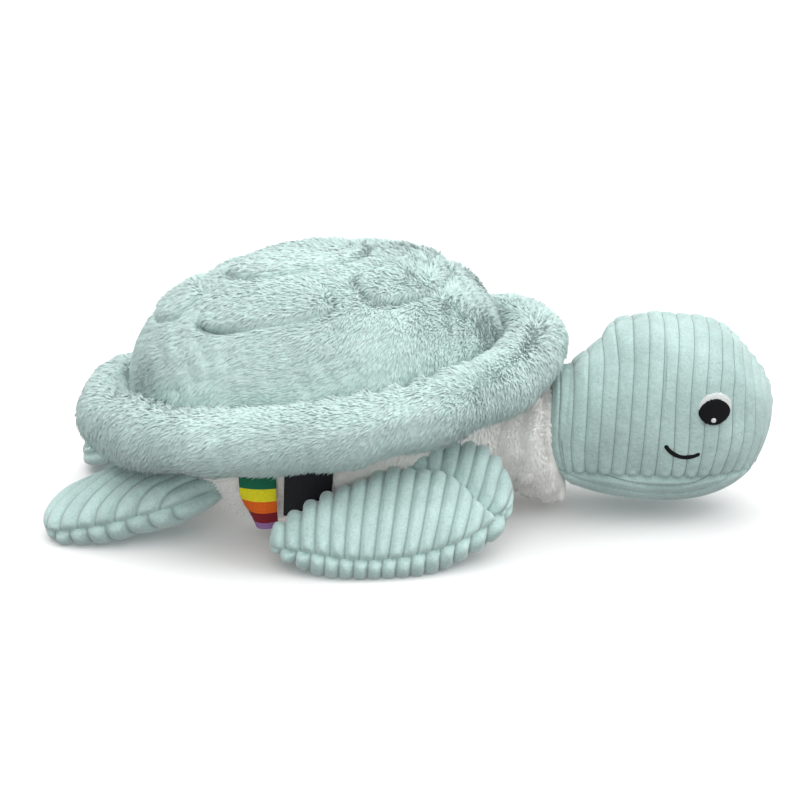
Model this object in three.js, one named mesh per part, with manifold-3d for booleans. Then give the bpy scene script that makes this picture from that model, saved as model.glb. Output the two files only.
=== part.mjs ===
// Plush sea turtle lying on its belly, in millimetres: +X is the head end, +Y its left side, +Z up
import * as THREE from 'three';
import { ParametricGeometry } from 'three/addons/geometries/ParametricGeometry.js';
import { mergeVertices } from 'three/addons/utils/BufferGeometryUtils.js';
import Module from 'manifold-3d';

const wasm = await Module();
wasm.setup();

// Cloth and clearances that every piece shares
const clothThickness = 2.4;
const seatGap = 0.3;
const fillingGap = 0.5;
const seamGap = 0.5;
const overrun = 6;
const weldDistance = 0.01;

// Shell and belly: one stuffed body whose top is a quilted dome and whose bottom is the white belly
const shellTilt = THREE.MathUtils.degToRad(8.3);
const seamCentreX = -47.5;
const seamCentreZ = 74.3;
const domeHalfLength = 102;
const domeHalfWidth = 82;
const domeRise = 66.5;
const bellyDepth = 79;
const planPower = 2.2;
const domePower = 2.4;
const bellyPower = 2.05;
const bellyFrontPower = 4;

// Quilting: a middle scute with a ring of eight round it, marked by stitched channels
const petalCount = 8;
const spokeSharpness = 8;
const channelDepth = 4.5;
const scuteSwell = 2;
const middleScuteShare = 0.36;
const petalOuterShare = 0.72;
const channelShare = 0.045;
const domeRingShares = [1, 0.94, 0.84, 0.72, 0.66, 0.56, 0.46, 0.41, 0.36, 0.28, 0];
const plainRingShares = [1, 0.94, 0.82, 0.66, 0.4, 0];
const seamPatchShare = 0.8;

// Facets round the plan of the shell and round its filling, the same for every piece so that they line up
const planSteps = 40;
const fillSteps = 20;

// Rim: a stuffed roll sewn along the seam between dome and belly
const rimReachAlong = 14.5;
const rimReachAcross = 12;
const rimHalfLength = domeHalfLength + rimReachAlong;
const rimHalfWidth = domeHalfWidth + rimReachAcross;
const rimRadius = 16.5;
const rimForward = 1.5;
const rimSag = 6;
const rimSeamOpening = 5;

// Neck: a white stuffed tube between the body and the head
const neckStart = new THREE.Vector3(34, 0, 47);
const neckEnd = new THREE.Vector3(89, 0, 41);
const neckRootRadius = 26;
const neckRadius = 34;
const neckSwell = 0.5;
const nodPivot = new THREE.Vector3(52, 0, 42);
const nodDown = THREE.MathUtils.degToRad(5);
const nodUp = THREE.MathUtils.degToRad(7);

// Head: two side panels and a gusset under the chin, widest a little behind its middle
const headWidestX = 138;
const headWidestZ = 60.5;
const headFrontLength = 61;
const headRearLength = 53;
const headHalfHeight = 52.5;
const headHalfWidth = 43.5;
const headFrontPower = 2.4;
const headSectionPower = 2.3;
const headRearHalfHeight = 31;
const headRearHalfWidth = 34;
const headRearZ = 48;
const headRearLean = 0.15;
const headRearPower = 1.6;
const chinSeamZ = 29;
const headOpeningRadius = 24;
const turnPivot = new THREE.Vector3(86, 0, 42);
const headTurn = THREE.MathUtils.degToRad(12);

// Face: embroidered eyes and smile, raised a little from the cloth
const threadThickness = 0.9;
const pupilX = 165.1;
const pupilZ = 67.2;
const pupilHalfLength = 8.4;
const pupilHalfHeight = 7.5;
const whiteHalfLength = 9;
const whiteHalfHeight = 8.4;
const whiteRise = 2.8;
const glintRadius = 1.7;
const glintDrop = 4.4;
const smileX = 151;
const smileZ = 54.4;
const smileRadius = 12.5;
const smileWidth = 1.5;
const smileStart = THREE.MathUtils.degToRad(205);
const smileEnd = THREE.MathUtils.degToRad(305);

// Front flipper: a swept-back paddle that hangs from the seam under the rim, outline from the tip round
const frontFlipper = {
  centre: new THREE.Vector3(9, -83, 24.5),
  roll: THREE.MathUtils.degToRad(36),
  pitch: THREE.MathUtils.degToRad(-5),
  yaw: THREE.MathUtils.degToRad(14),
  halfThickness: 17,
  pivot: new THREE.Vector3(32, -56, 40),
  sweepOut: THREE.MathUtils.degToRad(55),
  sweepIn: 0,
  reach: 78,
  halfWidth: 40,
  outlineShares: [
    [-1, -0.1], [-0.82, -0.55], [-0.46, -0.87], [0, -0.95], [0.41, -0.8], [0.64, -0.35], [0.68, 0.2],
    [0.56, 0.8], [0.33, 1], [0.1, 0.75], [-0.28, 0.48], [-0.69, 0.28],
  ],
};

// Rear flipper: a shorter rounded paddle that slopes down behind the shell
const rearFlipper = {
  centre: new THREE.Vector3(-142, -55, 18.2),
  roll: THREE.MathUtils.degToRad(10),
  pitch: THREE.MathUtils.degToRad(-13),
  yaw: THREE.MathUtils.degToRad(8),
  halfThickness: 13,
  pivot: new THREE.Vector3(-104, -50, 34),
  sweepOut: THREE.MathUtils.degToRad(25),
  sweepIn: THREE.MathUtils.degToRad(10),
  reach: 50,
  halfWidth: 31,
  outlineShares: [
    [-1, 0], [-0.9, -0.52], [-0.52, -0.87], [0.08, -0.94], [0.64, -0.77], [1, -0.26], [1, 0.32], [0.64, 0.81],
    [0.08, 1], [-0.48, 0.94], [-0.88, 0.52],
  ],
};
const flipperPower = 2.3;

// Sewn-in labels that hang from the seam under the rim, beside the belly
const labelThickness = 1;
const stripedLabel = {
  x: -74, width: 20, seamReach: 80, seamZ: 55, bendReach: 77, bendZ: 41, endReach: 71, endZ: 11,
};
const blackLabel = {
  x: -46, width: 26, seamReach: 81.7, seamZ: 57, bendReach: 78.5, bendZ: 42, endReach: 72, endZ: 17,
};

// Colours of the cloths and threads
const mintPlush = { color: 0xa9ccc4, roughness: 0.95, metalness: 0 };
const mintVelour = { color: 0x9dc4bc, roughness: 0.85, metalness: 0 };
const whitePlush = { color: 0xf0ece4, roughness: 0.95, metalness: 0 };
const filling = { color: 0xf7f7f5, roughness: 1, metalness: 0 };
const blackThread = { color: 0x16161a, roughness: 0.6, metalness: 0 };
const whiteThread = { color: 0xf8f8f6, roughness: 0.6, metalness: 0 };
const blackCloth = { color: 0x1b1b1d, roughness: 0.8, metalness: 0 };
const stripedCloth = { color: 0xd98a2b, roughness: 0.7, metalness: 0 };

// Geometry whose corners within the weld distance are one, without the slivers that this closes
function welded(geometry) {
  const bare = geometry.clone();
  bare.deleteAttribute('normal');
  bare.deleteAttribute('uv');
  const merged = mergeVertices(bare, weldDistance);
  const index = merged.index.array;
  const triangles = [];
  for (let i = 0; i < index.length; i += 3) {
    const [a, b, c] = [index[i], index[i + 1], index[i + 2]];
    if (a !== b && b !== c && c !== a) triangles.push(a, b, c);
  }
  merged.setIndex(triangles);
  return merged;
}

// Solid made from a closed geometry
function toSolid(geometry) {
  const closed = welded(geometry);
  return new wasm.Manifold(new wasm.Mesh({
    numProp: 3,
    vertProperties: new Float32Array(closed.attributes.position.array),
    triVerts: new Uint32Array(closed.index.array),
  }));
}

// Indexed geometry of a solid
function toGeometry(solid) {
  const mesh = solid.getMesh();
  const geometry = new THREE.BufferGeometry();
  geometry.setAttribute('position', new THREE.BufferAttribute(new Float32Array(mesh.vertProperties), 3));
  geometry.setIndex(new THREE.BufferAttribute(new Uint32Array(mesh.triVerts), 1));
  return geometry;
}

// Copy of a solid moved by a matrix, turned outside out again where the matrix mirrors it
function moved(solid, matrix) {
  const geometry = toGeometry(solid).applyMatrix4(matrix);
  if (matrix.determinant() < 0) geometry.index.array.reverse();
  return toSolid(geometry);
}

// Closed form from a surface function, moved by a matrix
function form(surface, around, along, matrix = new THREE.Matrix4()) {
  return toSolid(new ParametricGeometry(surface, around, along).applyMatrix4(matrix));
}

// Box solid between two corners
function block(low, high) {
  const size = new THREE.Vector3().subVectors(high, low);
  const middle = new THREE.Vector3().addVectors(low, high).multiplyScalar(0.5);
  return toSolid(new THREE.BoxGeometry(size.x, size.y, size.z).translate(middle.x, middle.y, middle.z));
}

// Signed power, which squares the corner of an ellipse
function squared(value, power) {
  return Math.sign(value) * Math.abs(value) ** (2 / power);
}

// Mesh of a world-space solid, placed in the group whose frame it follows
function addMesh(group, name, solid, look) {
  group.updateWorldMatrix(true, false);
  const toLocal = group.matrixWorld.clone().invert();
  const geometry = welded(toGeometry(solid)).applyMatrix4(toLocal).toNonIndexed();
  geometry.computeVertexNormals();
  const mesh = new THREE.Mesh(geometry, new THREE.MeshStandardMaterial(look));
  mesh.name = name;
  group.add(mesh);
}

const turtle = new THREE.Group();

// Frame of the shell, tilted nose up about the middle of its seam
const shell = new THREE.Group();
shell.position.set(seamCentreX, 0, seamCentreZ);
shell.rotation.y = -shellTilt;
turtle.add(shell);
turtle.updateMatrixWorld(true);
const shellFrame = shell.matrixWorld.clone();

const worldReach = 2 * (headWidestX + headFrontLength);

// Space below a height, as a cutting block
function below(height) {
  return block(
    new THREE.Vector3(-worldReach, -worldReach, -worldReach),
    new THREE.Vector3(worldReach, worldReach, height),
  );
}

// Angle of the plan at a share of the way round, half a step on, so that channels fall on corners
function planAngle(share, around) {
  return 2 * Math.PI * (share + 1 / (2 * around));
}

// Height of the quilting above the plain dome at a point of the plan
function quilting(share, angle) {
  const ring = (centre) => Math.exp(-(((share - centre) / channelShare) ** 2));
  const spoke = Math.abs(Math.sin((angle * petalCount) / 2)) ** spokeSharpness;
  const onPetals = share > middleScuteShare && share < petalOuterShare;
  const channel = Math.max(ring(middleScuteShare), ring(petalOuterShare), onPetals ? spoke : 0);
  const swell = share < petalOuterShare ? scuteSwell : 0;
  return swell * (1 - channel) - channelDepth * channel;
}

// Upper half of the body, from its flat seam face up to the crown
function domeSolid(inset, quilted, around, shares) {
  const rise = domeRise - inset;
  const last = shares.length;
  const surface = (u, v, target) => {
    const angle = planAngle(u, around);
    const row = Math.round(v * last);
    const share = row === 0 ? 0 : shares[row - 1];
    const radial = row === 0 ? 0 : share;
    const x = (domeHalfLength - inset) * radial * squared(Math.cos(angle), planPower);
    const y = (domeHalfWidth - inset) * radial * squared(Math.sin(angle), planPower);
    const crown = row === 0 ? 0 : rise * (1 - share ** domePower) ** (1 / domePower);
    const relief = quilted && row > 1 ? quilting(share, angle) : 0;
    target.set(x, y, seamGap / 2 + Math.max(crown + relief, 0));
  };
  return form(surface, around, last, shellFrame);
}

// Lower half of the body, from its flat seam face down to the belly
function bellySolid(inset, around, rows) {
  const depth = bellyDepth - inset;
  const surface = (u, v, target) => {
    const angle = -planAngle(u, around);
    const lean = Math.max(v * (rows + 1) - 1, 0) / rows;
    const power = THREE.MathUtils.lerp(bellyPower, bellyFrontPower, Math.max(Math.cos(angle), 0) ** 2);
    const radial = v === 0 ? 0 : squared(Math.cos((lean * Math.PI) / 2), power);
    const x = (domeHalfLength - inset) * radial * squared(Math.cos(angle), planPower);
    const y = (domeHalfWidth - inset) * radial * squared(Math.sin(angle), planPower);
    target.set(x, y, -seamGap / 2 - depth * squared(Math.sin((lean * Math.PI) / 2), power));
  };
  return form(surface, around, rows + 1, shellFrame);
}

// Frame of the roll at an angle of the plan: its middle, the way outward and the room left beside the body
function rimStation(angle) {
  const [along, across] = [squared(Math.cos(angle), planPower), squared(Math.sin(angle), planPower)];
  const middle = new THREE.Vector3(rimForward + rimHalfLength * along, rimHalfWidth * across, 0);
  middle.z = -rimSag * Math.sin(angle) ** 2;
  const outward = new THREE.Vector3(rimHalfWidth * Math.cos(angle), rimHalfLength * Math.sin(angle), 0);
  outward.normalize();
  const edge = new THREE.Vector3(domeHalfLength * along, domeHalfWidth * across, middle.z);
  const room = new THREE.Vector3().subVectors(middle, edge).dot(outward) - seatGap;
  return { middle, outward, room };
}

// Point of the roll's section, which is round outside and flat where it lies against the body
function rimPoint(angle, turn, inset, target) {
  const radius = rimRadius - inset;
  const { middle, outward, room } = rimStation(angle);
  const reach = Math.max(radius * Math.cos(turn), inset - room);
  target.copy(middle).addScaledVector(outward, reach);
  target.z -= radius * Math.sin(turn);
}

// Turn about the roll's middle at a share of the way from one lip of its seam opening to the other
function rimTurn(share, inset) {
  const lip = Math.asin(rimSeamOpening / 2 / (rimRadius - inset));
  return THREE.MathUtils.lerp(lip - Math.PI, Math.PI - lip, share);
}

// Roll that runs round the seam
function rimSolid(inset, around, along) {
  const surface = (u, v, target) => {
    const step = Math.round(u * (around + 1)) % (around + 1);
    rimPoint(planAngle(v, along), rimTurn(step / around, inset), inset, target);
  };
  return form(surface, around + 1, along, shellFrame);
}

// Cloth of the roll, left open along the seam: round its outside from lip to lip and back along its inside
function rimClothSolid(around, hollowAround, along) {
  const last = around + hollowAround + 2;
  const surface = (u, v, target) => {
    const step = Math.round(u * last) % last;
    const outside = step <= around;
    const inset = outside ? 0 : clothThickness;
    const share = outside ? step / around : 1 - (step - around - 1) / hollowAround;
    rimPoint(planAngle(v, along), rimTurn(share, inset), inset, target);
  };
  return form(surface, last, along, shellFrame);
}

// Everything that the neck and limbs are cut by: body and rim, grown by the seat gap
const grownBody = domeSolid(-seatGap, false, planSteps, plainRingShares)
  .add(bellySolid(-seatGap, planSteps, 6))
  .add(rimSolid(-seatGap, 10, planSteps));
const grownSeam = block(
  new THREE.Vector3(-domeHalfLength, -domeHalfWidth, -seamGap).multiplyScalar(seamPatchShare),
  new THREE.Vector3(domeHalfLength, domeHalfWidth, seamGap).multiplyScalar(seamPatchShare),
);
const bodyCutter = grownBody.add(moved(grownSeam, shellFrame));

// Solid turned about an axis through a pivot
function turned(solid, pivot, axis, angle) {
  const matrix = new THREE.Matrix4().makeTranslation(pivot.x, pivot.y, pivot.z);
  matrix.multiply(new THREE.Matrix4().makeRotationAxis(axis, angle));
  matrix.multiply(new THREE.Matrix4().makeTranslation(-pivot.x, -pivot.y, -pivot.z));
  return moved(solid, matrix);
}

// What is left of a moving piece once a fixed one has been cut from it all through its travel
function clearedOf(piece, fixed, pivot, axis, from, to, steps) {
  let rest = piece.subtract(fixed);
  for (let i = 0; i <= steps; i += 1) {
    const angle = from + ((to - from) * i) / steps;
    rest = rest.subtract(turned(fixed, pivot, axis, -angle));
  }
  return rest;
}

const upAxis = new THREE.Vector3(0, 0, 1);
const noseUpAxis = new THREE.Vector3(0, -1, 0);

// Largest of the separate bodies that a cut may leave
function largest(solid) {
  return solid.decompose().reduce((best, part) => (part.volume() > best.volume() ? part : best));
}

// Solid with a copy of itself moved along the shell's own upright, so that it crosses the seam
function stretched(solid, distance) {
  const step = new THREE.Vector3().setFromMatrixColumn(shellFrame, 2).multiplyScalar(distance);
  return solid.add(moved(solid, new THREE.Matrix4().makeTranslation(step.x, step.y, step.z)));
}

// Shell pieces: dome cover, belly cover, rim cover and what fills them
function addShell() {
  const dome = domeSolid(0, true, planSteps, domeRingShares);
  const domeHollow = domeSolid(clothThickness + channelDepth, false, fillSteps, plainRingShares);
  addMesh(shell, 'shell_dome_cover', dome.subtract(stretched(domeHollow, -seamGap)), mintPlush);

  const belly = bellySolid(0, planSteps, 6).subtract(below(0));
  const bellyHollow = bellySolid(clothThickness, fillSteps, 5).subtract(below(clothThickness));
  addMesh(shell, 'belly_cover', belly.subtract(stretched(bellyHollow, seamGap)), whitePlush);

  const inset = clothThickness + fillingGap;
  const upperFill = domeSolid(inset + channelDepth, false, fillSteps, plainRingShares);
  const lowerFill = bellySolid(inset, fillSteps, 5).subtract(below(inset));
  const fill = stretched(lowerFill, seamGap / 2).add(stretched(upperFill, -seamGap));
  addMesh(shell, 'body_stuffing', fill, filling);

  addMesh(shell, 'shell_rim_cover', rimClothSolid(10, 5, planSteps), mintPlush);
  addMesh(shell, 'shell_rim_stuffing', rimSolid(inset, 5, planSteps), filling);
}

// Head: from the ring where it meets the neck, swelling to its widest and closing round the nose
function headSolid(inset, around, rearRows, frontRows) {
  const rows = rearRows + frontRows + 1;
  const rearShare = (rearRows + 1) / rows;
  const surface = (u, v, target) => {
    const turn = 2 * Math.PI * u;
    const back = THREE.MathUtils.clamp((rearRows + 1 - v * rows) / rearRows, 0, 1);
    const ahead = THREE.MathUtils.clamp((v - rearShare) / (1 - rearShare), 0, 1);
    const axial = squared(Math.sin((ahead * Math.PI) / 2), headFrontPower);
    const close = squared(Math.max(Math.cos((ahead * Math.PI) / 2), 0), headFrontPower);
    const drop = back ** headRearPower;
    const radial = v === 0 ? 0 : close;
    const halfWidth = headHalfWidth - inset - (headHalfWidth - headRearHalfWidth) * drop ** 2;
    const halfHeight = headHalfHeight - inset - (headHalfHeight - headRearHalfHeight) * drop;
    const z = halfHeight * radial * squared(Math.sin(turn), headSectionPower);
    const reach = back > 0 ? -(headRearLength - inset) * back : (headFrontLength - inset) * axial;
    target.set(
      headWidestX + reach + headRearLean * drop * z,
      halfWidth * radial * squared(Math.cos(turn), headSectionPower),
      headWidestZ + (headRearZ - headWidestZ) * drop + z,
    );
  };
  return form(surface, around, rows);
}

// Round bar along X, used to open the cloth where the neck enters the head
function barAlongX(radius, from, to, z) {
  const bar = new THREE.CylinderGeometry(radius, radius, to - from, 24);
  bar.rotateZ(Math.PI / 2).translate((from + to) / 2, 0, z);
  return toSolid(bar);
}

// Neck tube between its two ends, swelling in the middle, with some extra length past each end
function neckSolid(inset, extra, around, rows) {
  const extraShare = extra / neckStart.distanceTo(neckEnd);
  const surface = (u, v, target) => {
    const row = THREE.MathUtils.clamp((v * (rows + 2) - 1) / rows, 0, 1);
    const share = THREE.MathUtils.lerp(-extraShare, 1 + extraShare, row);
    const capped = v === 0 || v === 1;
    const taper = THREE.MathUtils.lerp(neckRootRadius, neckRadius, share);
    const radius = capped ? 0 : taper + neckSwell * Math.sin(Math.PI * share) - inset;
    target.lerpVectors(neckStart, neckEnd, share);
    target.y += radius * Math.cos(2 * Math.PI * u);
    target.z += radius * Math.sin(2 * Math.PI * u);
  };
  return form(surface, around, rows + 2);
}

// Prism across the head, for a patch of thread seen from the side
function facePrism(shape, x, z) {
  const reach = 2 * headHalfWidth;
  const prism = new THREE.ExtrudeGeometry(shape, { depth: reach, bevelEnabled: false, curveSegments: 10 });
  return toSolid(prism.rotateX(Math.PI / 2).translate(x, 0, z));
}

// Ellipse as a shape about its own middle
function ellipse(halfLength, halfHeight) {
  const shape = new THREE.Shape();
  shape.absellipse(0, 0, halfLength, halfHeight, 0, 2 * Math.PI, false);
  return shape;
}

// Stitched smile: a band of thread along an arc
function smileShape() {
  const shape = new THREE.Shape();
  shape.absarc(0, 0, smileRadius + smileWidth / 2, smileStart, smileEnd, false);
  shape.absarc(0, 0, smileRadius - smileWidth / 2, smileEnd, smileStart, true);
  return shape;
}

// Mirror image on the turtle's left side
const toLeft = new THREE.Matrix4().makeScale(1, -1, 1);

const neck = new THREE.Group();
neck.position.copy(nodPivot);
turtle.add(neck);
const head = new THREE.Group();
head.position.subVectors(turnPivot, nodPivot);
neck.add(head);

function addNeck() {
  const grownHead = headSolid(-seatGap, 28, 5, 3);
  const clear = (solid) => {
    const behind = clearedOf(solid, bodyCutter, nodPivot, noseUpAxis, -nodDown, nodUp, 6);
    return largest(clearedOf(behind, grownHead, turnPivot, upAxis, -headTurn, headTurn, 2));
  };
  const cover = neckSolid(0, 0, 20, 2).subtract(neckSolid(clothThickness, overrun, 14, 2));
  addMesh(neck, 'neck_cover', clear(cover), whitePlush);
  addMesh(neck, 'neck_stuffing', clear(neckSolid(clothThickness + fillingGap, 0, 14, 2)), filling);
}

function addHead() {
  const rear = headWidestX - headRearLength - 2 * overrun;
  const opening = barAlongX(headOpeningRadius, rear, headWidestX - headRearLength / 2, headRearZ);
  const cloth = headSolid(0, 28, 5, 7).subtract(headSolid(clothThickness, 16, 3, 4)).subtract(opening);
  const low = new THREE.Vector3(-worldReach, -worldReach, chinSeamZ + seamGap / 2);
  const right = block(low, new THREE.Vector3(worldReach, -seamGap / 2, worldReach));
  const side = cloth.intersect(right);
  addMesh(head, 'head_side_right', side, mintVelour);
  addMesh(head, 'head_side_left', moved(side, toLeft), mintVelour);
  addMesh(head, 'head_chin_gusset', cloth.intersect(below(chinSeamZ - seamGap / 2)), mintVelour);
  addMesh(head, 'head_stuffing', headSolid(clothThickness + fillingGap, 16, 3, 4), filling);
}

function addFace() {
  const layer = headSolid(-seatGap - threadThickness, 28, 5, 7).subtract(headSolid(-seatGap, 28, 5, 7));
  const pupil = facePrism(ellipse(pupilHalfLength, pupilHalfHeight), pupilX, pupilZ);
  const pupilCut = facePrism(ellipse(pupilHalfLength + seatGap, pupilHalfHeight + seatGap), pupilX, pupilZ);
  const white = facePrism(ellipse(whiteHalfLength, whiteHalfHeight), pupilX, pupilZ + whiteRise);
  const glint = facePrism(ellipse(glintRadius, glintRadius), pupilX, pupilZ - glintDrop);
  const glintRoom = glintRadius + seatGap;
  const glintCut = facePrism(ellipse(glintRoom, glintRoom), pupilX, pupilZ - glintDrop);
  const patches = [
    ['eye_white', white.subtract(pupilCut), whiteThread],
    ['eye_pupil', pupil.subtract(glintCut), blackThread],
    ['eye_glint', glint, whiteThread],
    ['smile_stitch', facePrism(smileShape(), smileX, smileZ), blackThread],
  ];
  for (const [name, prism, look] of patches) {
    const patch = largest(layer.intersect(prism));
    addMesh(head, `${name}_right`, patch, look);
    addMesh(head, `${name}_left`, moved(patch, toLeft), look);
  }
}

// Closed outline of a flipper, in its own plane
function outlineCurve(flipper) {
  const { reach, halfWidth, outlineShares } = flipper;
  const points = outlineShares.map(
    ([along, across]) => new THREE.Vector3(reach * along, halfWidth * across, 0),
  );
  return new THREE.CatmullRomCurve3(points, true, 'centripetal');
}

// Pillow over a flipper's outline: both sides, or the upper or lower side closed at the seam plane
function pillowSolid(flipper, side, inset, around, rows) {
  const curve = outlineCurve(flipper);
  const half = flipper.halfThickness - inset;
  const matrix = flipperFrame(flipper);
  const surface = (u, v, target) => {
    const start = side === 0 ? -Math.PI / 2 : 0;
    const rings = side === 0 ? v : Math.max(v * (rows + 1) - 1, 0) / rows;
    const lean = start + (Math.PI / 2 - start) * rings;
    const middle = side !== 0 && v === 0;
    const radial = middle ? 0 : squared(Math.max(Math.cos(lean), 0), flipperPower);
    curve.getPoint(side < 0 ? 1 - u : u, target);
    const share = radial * (1 - inset / target.length());
    const height = half * squared(Math.sin(lean), flipperPower);
    const lift = side === 0 ? height : side * (seamGap / 2 + height);
    target.set(target.x * share, target.y * share, lift);
  };
  return form(surface, around, side === 0 ? 2 * rows : rows + 1, matrix);
}

function flipperFrame(flipper) {
  const turn = new THREE.Euler(flipper.roll, flipper.pitch, flipper.yaw, 'ZYX');
  return new THREE.Matrix4().makeRotationFromEuler(turn).setPosition(flipper.centre);
}

// Two sewn panels and the stuffing of one flipper, on both sides of the turtle
function addFlipperPair(name, flipper, around, rows) {
  const clear = (solid) => {
    const above = solid.subtract(below(0));
    const rest = clearedOf(above, bodyCutter, flipper.pivot, upAxis, -flipper.sweepIn, flipper.sweepOut, 5);
    return largest(rest);
  };
  const hollow = pillowSolid(flipper, 0, clothThickness, around - 6, Math.ceil(rows / 2));
  const fill = pillowSolid(flipper, 0, clothThickness + fillingGap, around - 6, Math.ceil(rows / 2));
  const hollowAbove = hollow.subtract(below(clothThickness));
  const fillAbove = fill.subtract(below(clothThickness + fillingGap));
  const top = clear(pillowSolid(flipper, 1, 0, around, rows).subtract(hollowAbove));
  const underside = clear(pillowSolid(flipper, -1, 0, around, rows).subtract(hollowAbove));
  const stuffing = clear(fillAbove);
  for (const side of ['right', 'left']) {
    const placed = (solid) => (side === 'left' ? moved(solid, toLeft) : solid);
    const group = new THREE.Group();
    group.position.copy(flipper.pivot);
    if (side === 'left') group.position.y *= -1;
    turtle.add(group);
    addMesh(group, `${name}_${side}_top`, placed(top), mintVelour);
    addMesh(group, `${name}_${side}_underside`, placed(underside), mintVelour);
    addMesh(group, `${name}_${side}_stuffing`, placed(stuffing), filling);
  }
}

// Strip of ribbon that follows a bend away from the seam and hangs beside the belly
function labelSolid(label) {
  const bend = new THREE.QuadraticBezierCurve(
    new THREE.Vector2(label.seamReach, label.seamZ),
    new THREE.Vector2(label.bendReach, label.bendZ),
    new THREE.Vector2(label.endReach, label.endZ),
  );
  const outer = bend.getPoints(8);
  const inner = outer.map((point) => new THREE.Vector2(point.x - labelThickness, point.y)).reverse();
  const strip = new THREE.ExtrudeGeometry(new THREE.Shape([...inner, ...outer]), {
    depth: label.width,
    bevelEnabled: false,
  });
  const basis = new THREE.Matrix4().makeBasis(
    new THREE.Vector3(0, -1, 0),
    new THREE.Vector3(0, 0, 1),
    new THREE.Vector3(-1, 0, 0),
  );
  strip.applyMatrix4(basis.setPosition(label.x + label.width / 2, 0, 0));
  return largest(toSolid(strip).subtract(bodyCutter));
}

addShell();
addMesh(turtle, 'striped_label', labelSolid(stripedLabel), stripedCloth);
addMesh(turtle, 'black_label', labelSolid(blackLabel), blackCloth);
addNeck();
addHead();
addFace();
addFlipperPair('front_flipper', frontFlipper, 20, 5);
addFlipperPair('rear_flipper', rearFlipper, 18, 4);

// Stands the turtle on the ground plane, with the middle of its footprint at the origin
turtle.updateMatrixWorld(true);
const box = new THREE.Box3().setFromObject(turtle, true);
const middle = box.getCenter(new THREE.Vector3());
turtle.position.set(-middle.x, -middle.y, -box.min.z);
turtle.updateMatrixWorld(true);

export default turtle;
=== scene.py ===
"""Looks of the plush turtle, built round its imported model. Metres, nose towards +X, floor at z = 0."""

import math

import bmesh
import bpy
import numpy as np
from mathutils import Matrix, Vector
from mathutils.bvhtree import BVHTree


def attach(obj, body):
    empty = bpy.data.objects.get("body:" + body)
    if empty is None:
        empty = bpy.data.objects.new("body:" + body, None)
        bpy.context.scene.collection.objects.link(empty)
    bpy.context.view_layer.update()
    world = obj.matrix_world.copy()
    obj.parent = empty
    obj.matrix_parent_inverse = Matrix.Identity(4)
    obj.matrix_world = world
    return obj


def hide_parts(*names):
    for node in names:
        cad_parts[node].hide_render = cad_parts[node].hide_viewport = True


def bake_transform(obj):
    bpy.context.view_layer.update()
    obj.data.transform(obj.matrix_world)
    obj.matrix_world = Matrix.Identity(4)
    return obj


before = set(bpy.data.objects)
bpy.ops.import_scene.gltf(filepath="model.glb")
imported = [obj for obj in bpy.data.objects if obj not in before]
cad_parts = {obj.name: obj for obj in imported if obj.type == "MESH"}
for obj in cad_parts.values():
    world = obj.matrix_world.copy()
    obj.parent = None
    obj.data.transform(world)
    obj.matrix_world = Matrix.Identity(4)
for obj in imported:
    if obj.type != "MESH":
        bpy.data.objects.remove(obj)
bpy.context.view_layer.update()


# Shell dome
# The top of the body: one plump crown of long soft mint plush over fibre filling. A round scute in
# the middle and five petals round it are quilted down with stitched channels in the pile.

shell_middle = (-0.051842, 0.0743)  # x and z of the middle of the seam round the body
shell_tilt = math.radians(8.3)
dome_half_length = 0.102
dome_half_width = 0.082
dome_rise = 0.0665
dome_crown_power = 2.4
plan_power = 2.2
seam_half_gap = 0.00025
skirt_share = 0.94  # how far in the cloth is turned below its seam
dome_columns = 420
dome_rows = 140
dome_row_crowding = 1.5  # how much closer together the rows lie near the rim
dome_slack = ((0.0012, 0.045, 3), (0.0005, 0.012, 4))  # height, length and seed of each unevenness

middle_scute_share = 0.38
petal_middle_share = 0.665
petal_half_share = 0.135
petal_count = 5
petal_first_turn = math.radians(256)
petal_half_turn = math.radians(29)
petal_roundness = 3.5
petal_pull, petal_pull_change = 0.75, 0.9  # how hard its stitches pull, and how that changes on its arcs
petal_pull_steepness, petal_pull_bias = 2.2, 0.8
middle_pull, middle_pull_change = 0.55, 0.6
middle_pull_length = 0.055
petal_pull_least, middle_pull_least = 0.12, 0.1
channel_half_width = 0.0015
channel_depth = 0.0062
channel_wear = 0.5  # how much shorter the pile is in a channel
scute_swell = 0.0024
scute_edge = 0.004

mint_plush = (0.56, 0.715, 0.69)
# Darker mint: for a share of the tufts at random, and as painted shade on the cloth seen in the gaps between
# the tufts
mint_plush_deep_and_shade = (0.50, 0.675, 0.645)
dome_tufts = {"per_square": 1.44e6, "length": 0.0037, "width": 0.0015, "curl": 0.0011, "tousle": 0.34}
nap_way, dome_brushing, dome_swirling, dome_swirl_length = (-0.75, -0.1, -0.75), 1.5, 0.8, 0.06
parting_wave, parting_length = 0.007, 0.018  # of the lines where two fields of tufts meet


def squared(value, power):
    """Signed power, which squares the corner of an ellipse."""
    return np.sign(value) * np.abs(value) ** (2 / power)


def from_shell(x, y, z):
    """Points of the shell's tilted frame, in the row frame."""
    across = np.broadcast_to(y, np.shape(x))
    return np.stack([
        shell_middle[0] + x * math.cos(shell_tilt) - z * math.sin(shell_tilt),
        across,
        shell_middle[1] + x * math.sin(shell_tilt) + z * math.cos(shell_tilt),
    ], -1)


def unevenness(points, length, seed):
    """Smooth waves between about -1 and 1, of about that length, at points."""
    waves = 9
    chance = np.random.default_rng(seed)
    total = np.zeros(points.shape[:-1])
    for _ in range(waves):
        way = chance.normal(size=3)
        way *= 2 * math.pi / np.linalg.norm(way) / (length * chance.uniform(0.7, 1.4))
        total += np.sin(points @ way + chance.uniform(0, 2 * math.pi))
    return total / (waves / 2)


def slackness(points, waves):
    """Height of a cloth's own unevenness, given as (height, length, seed) waves."""
    return sum(height * unevenness(points, length, seed) for height, length, seed in waves)


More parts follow.
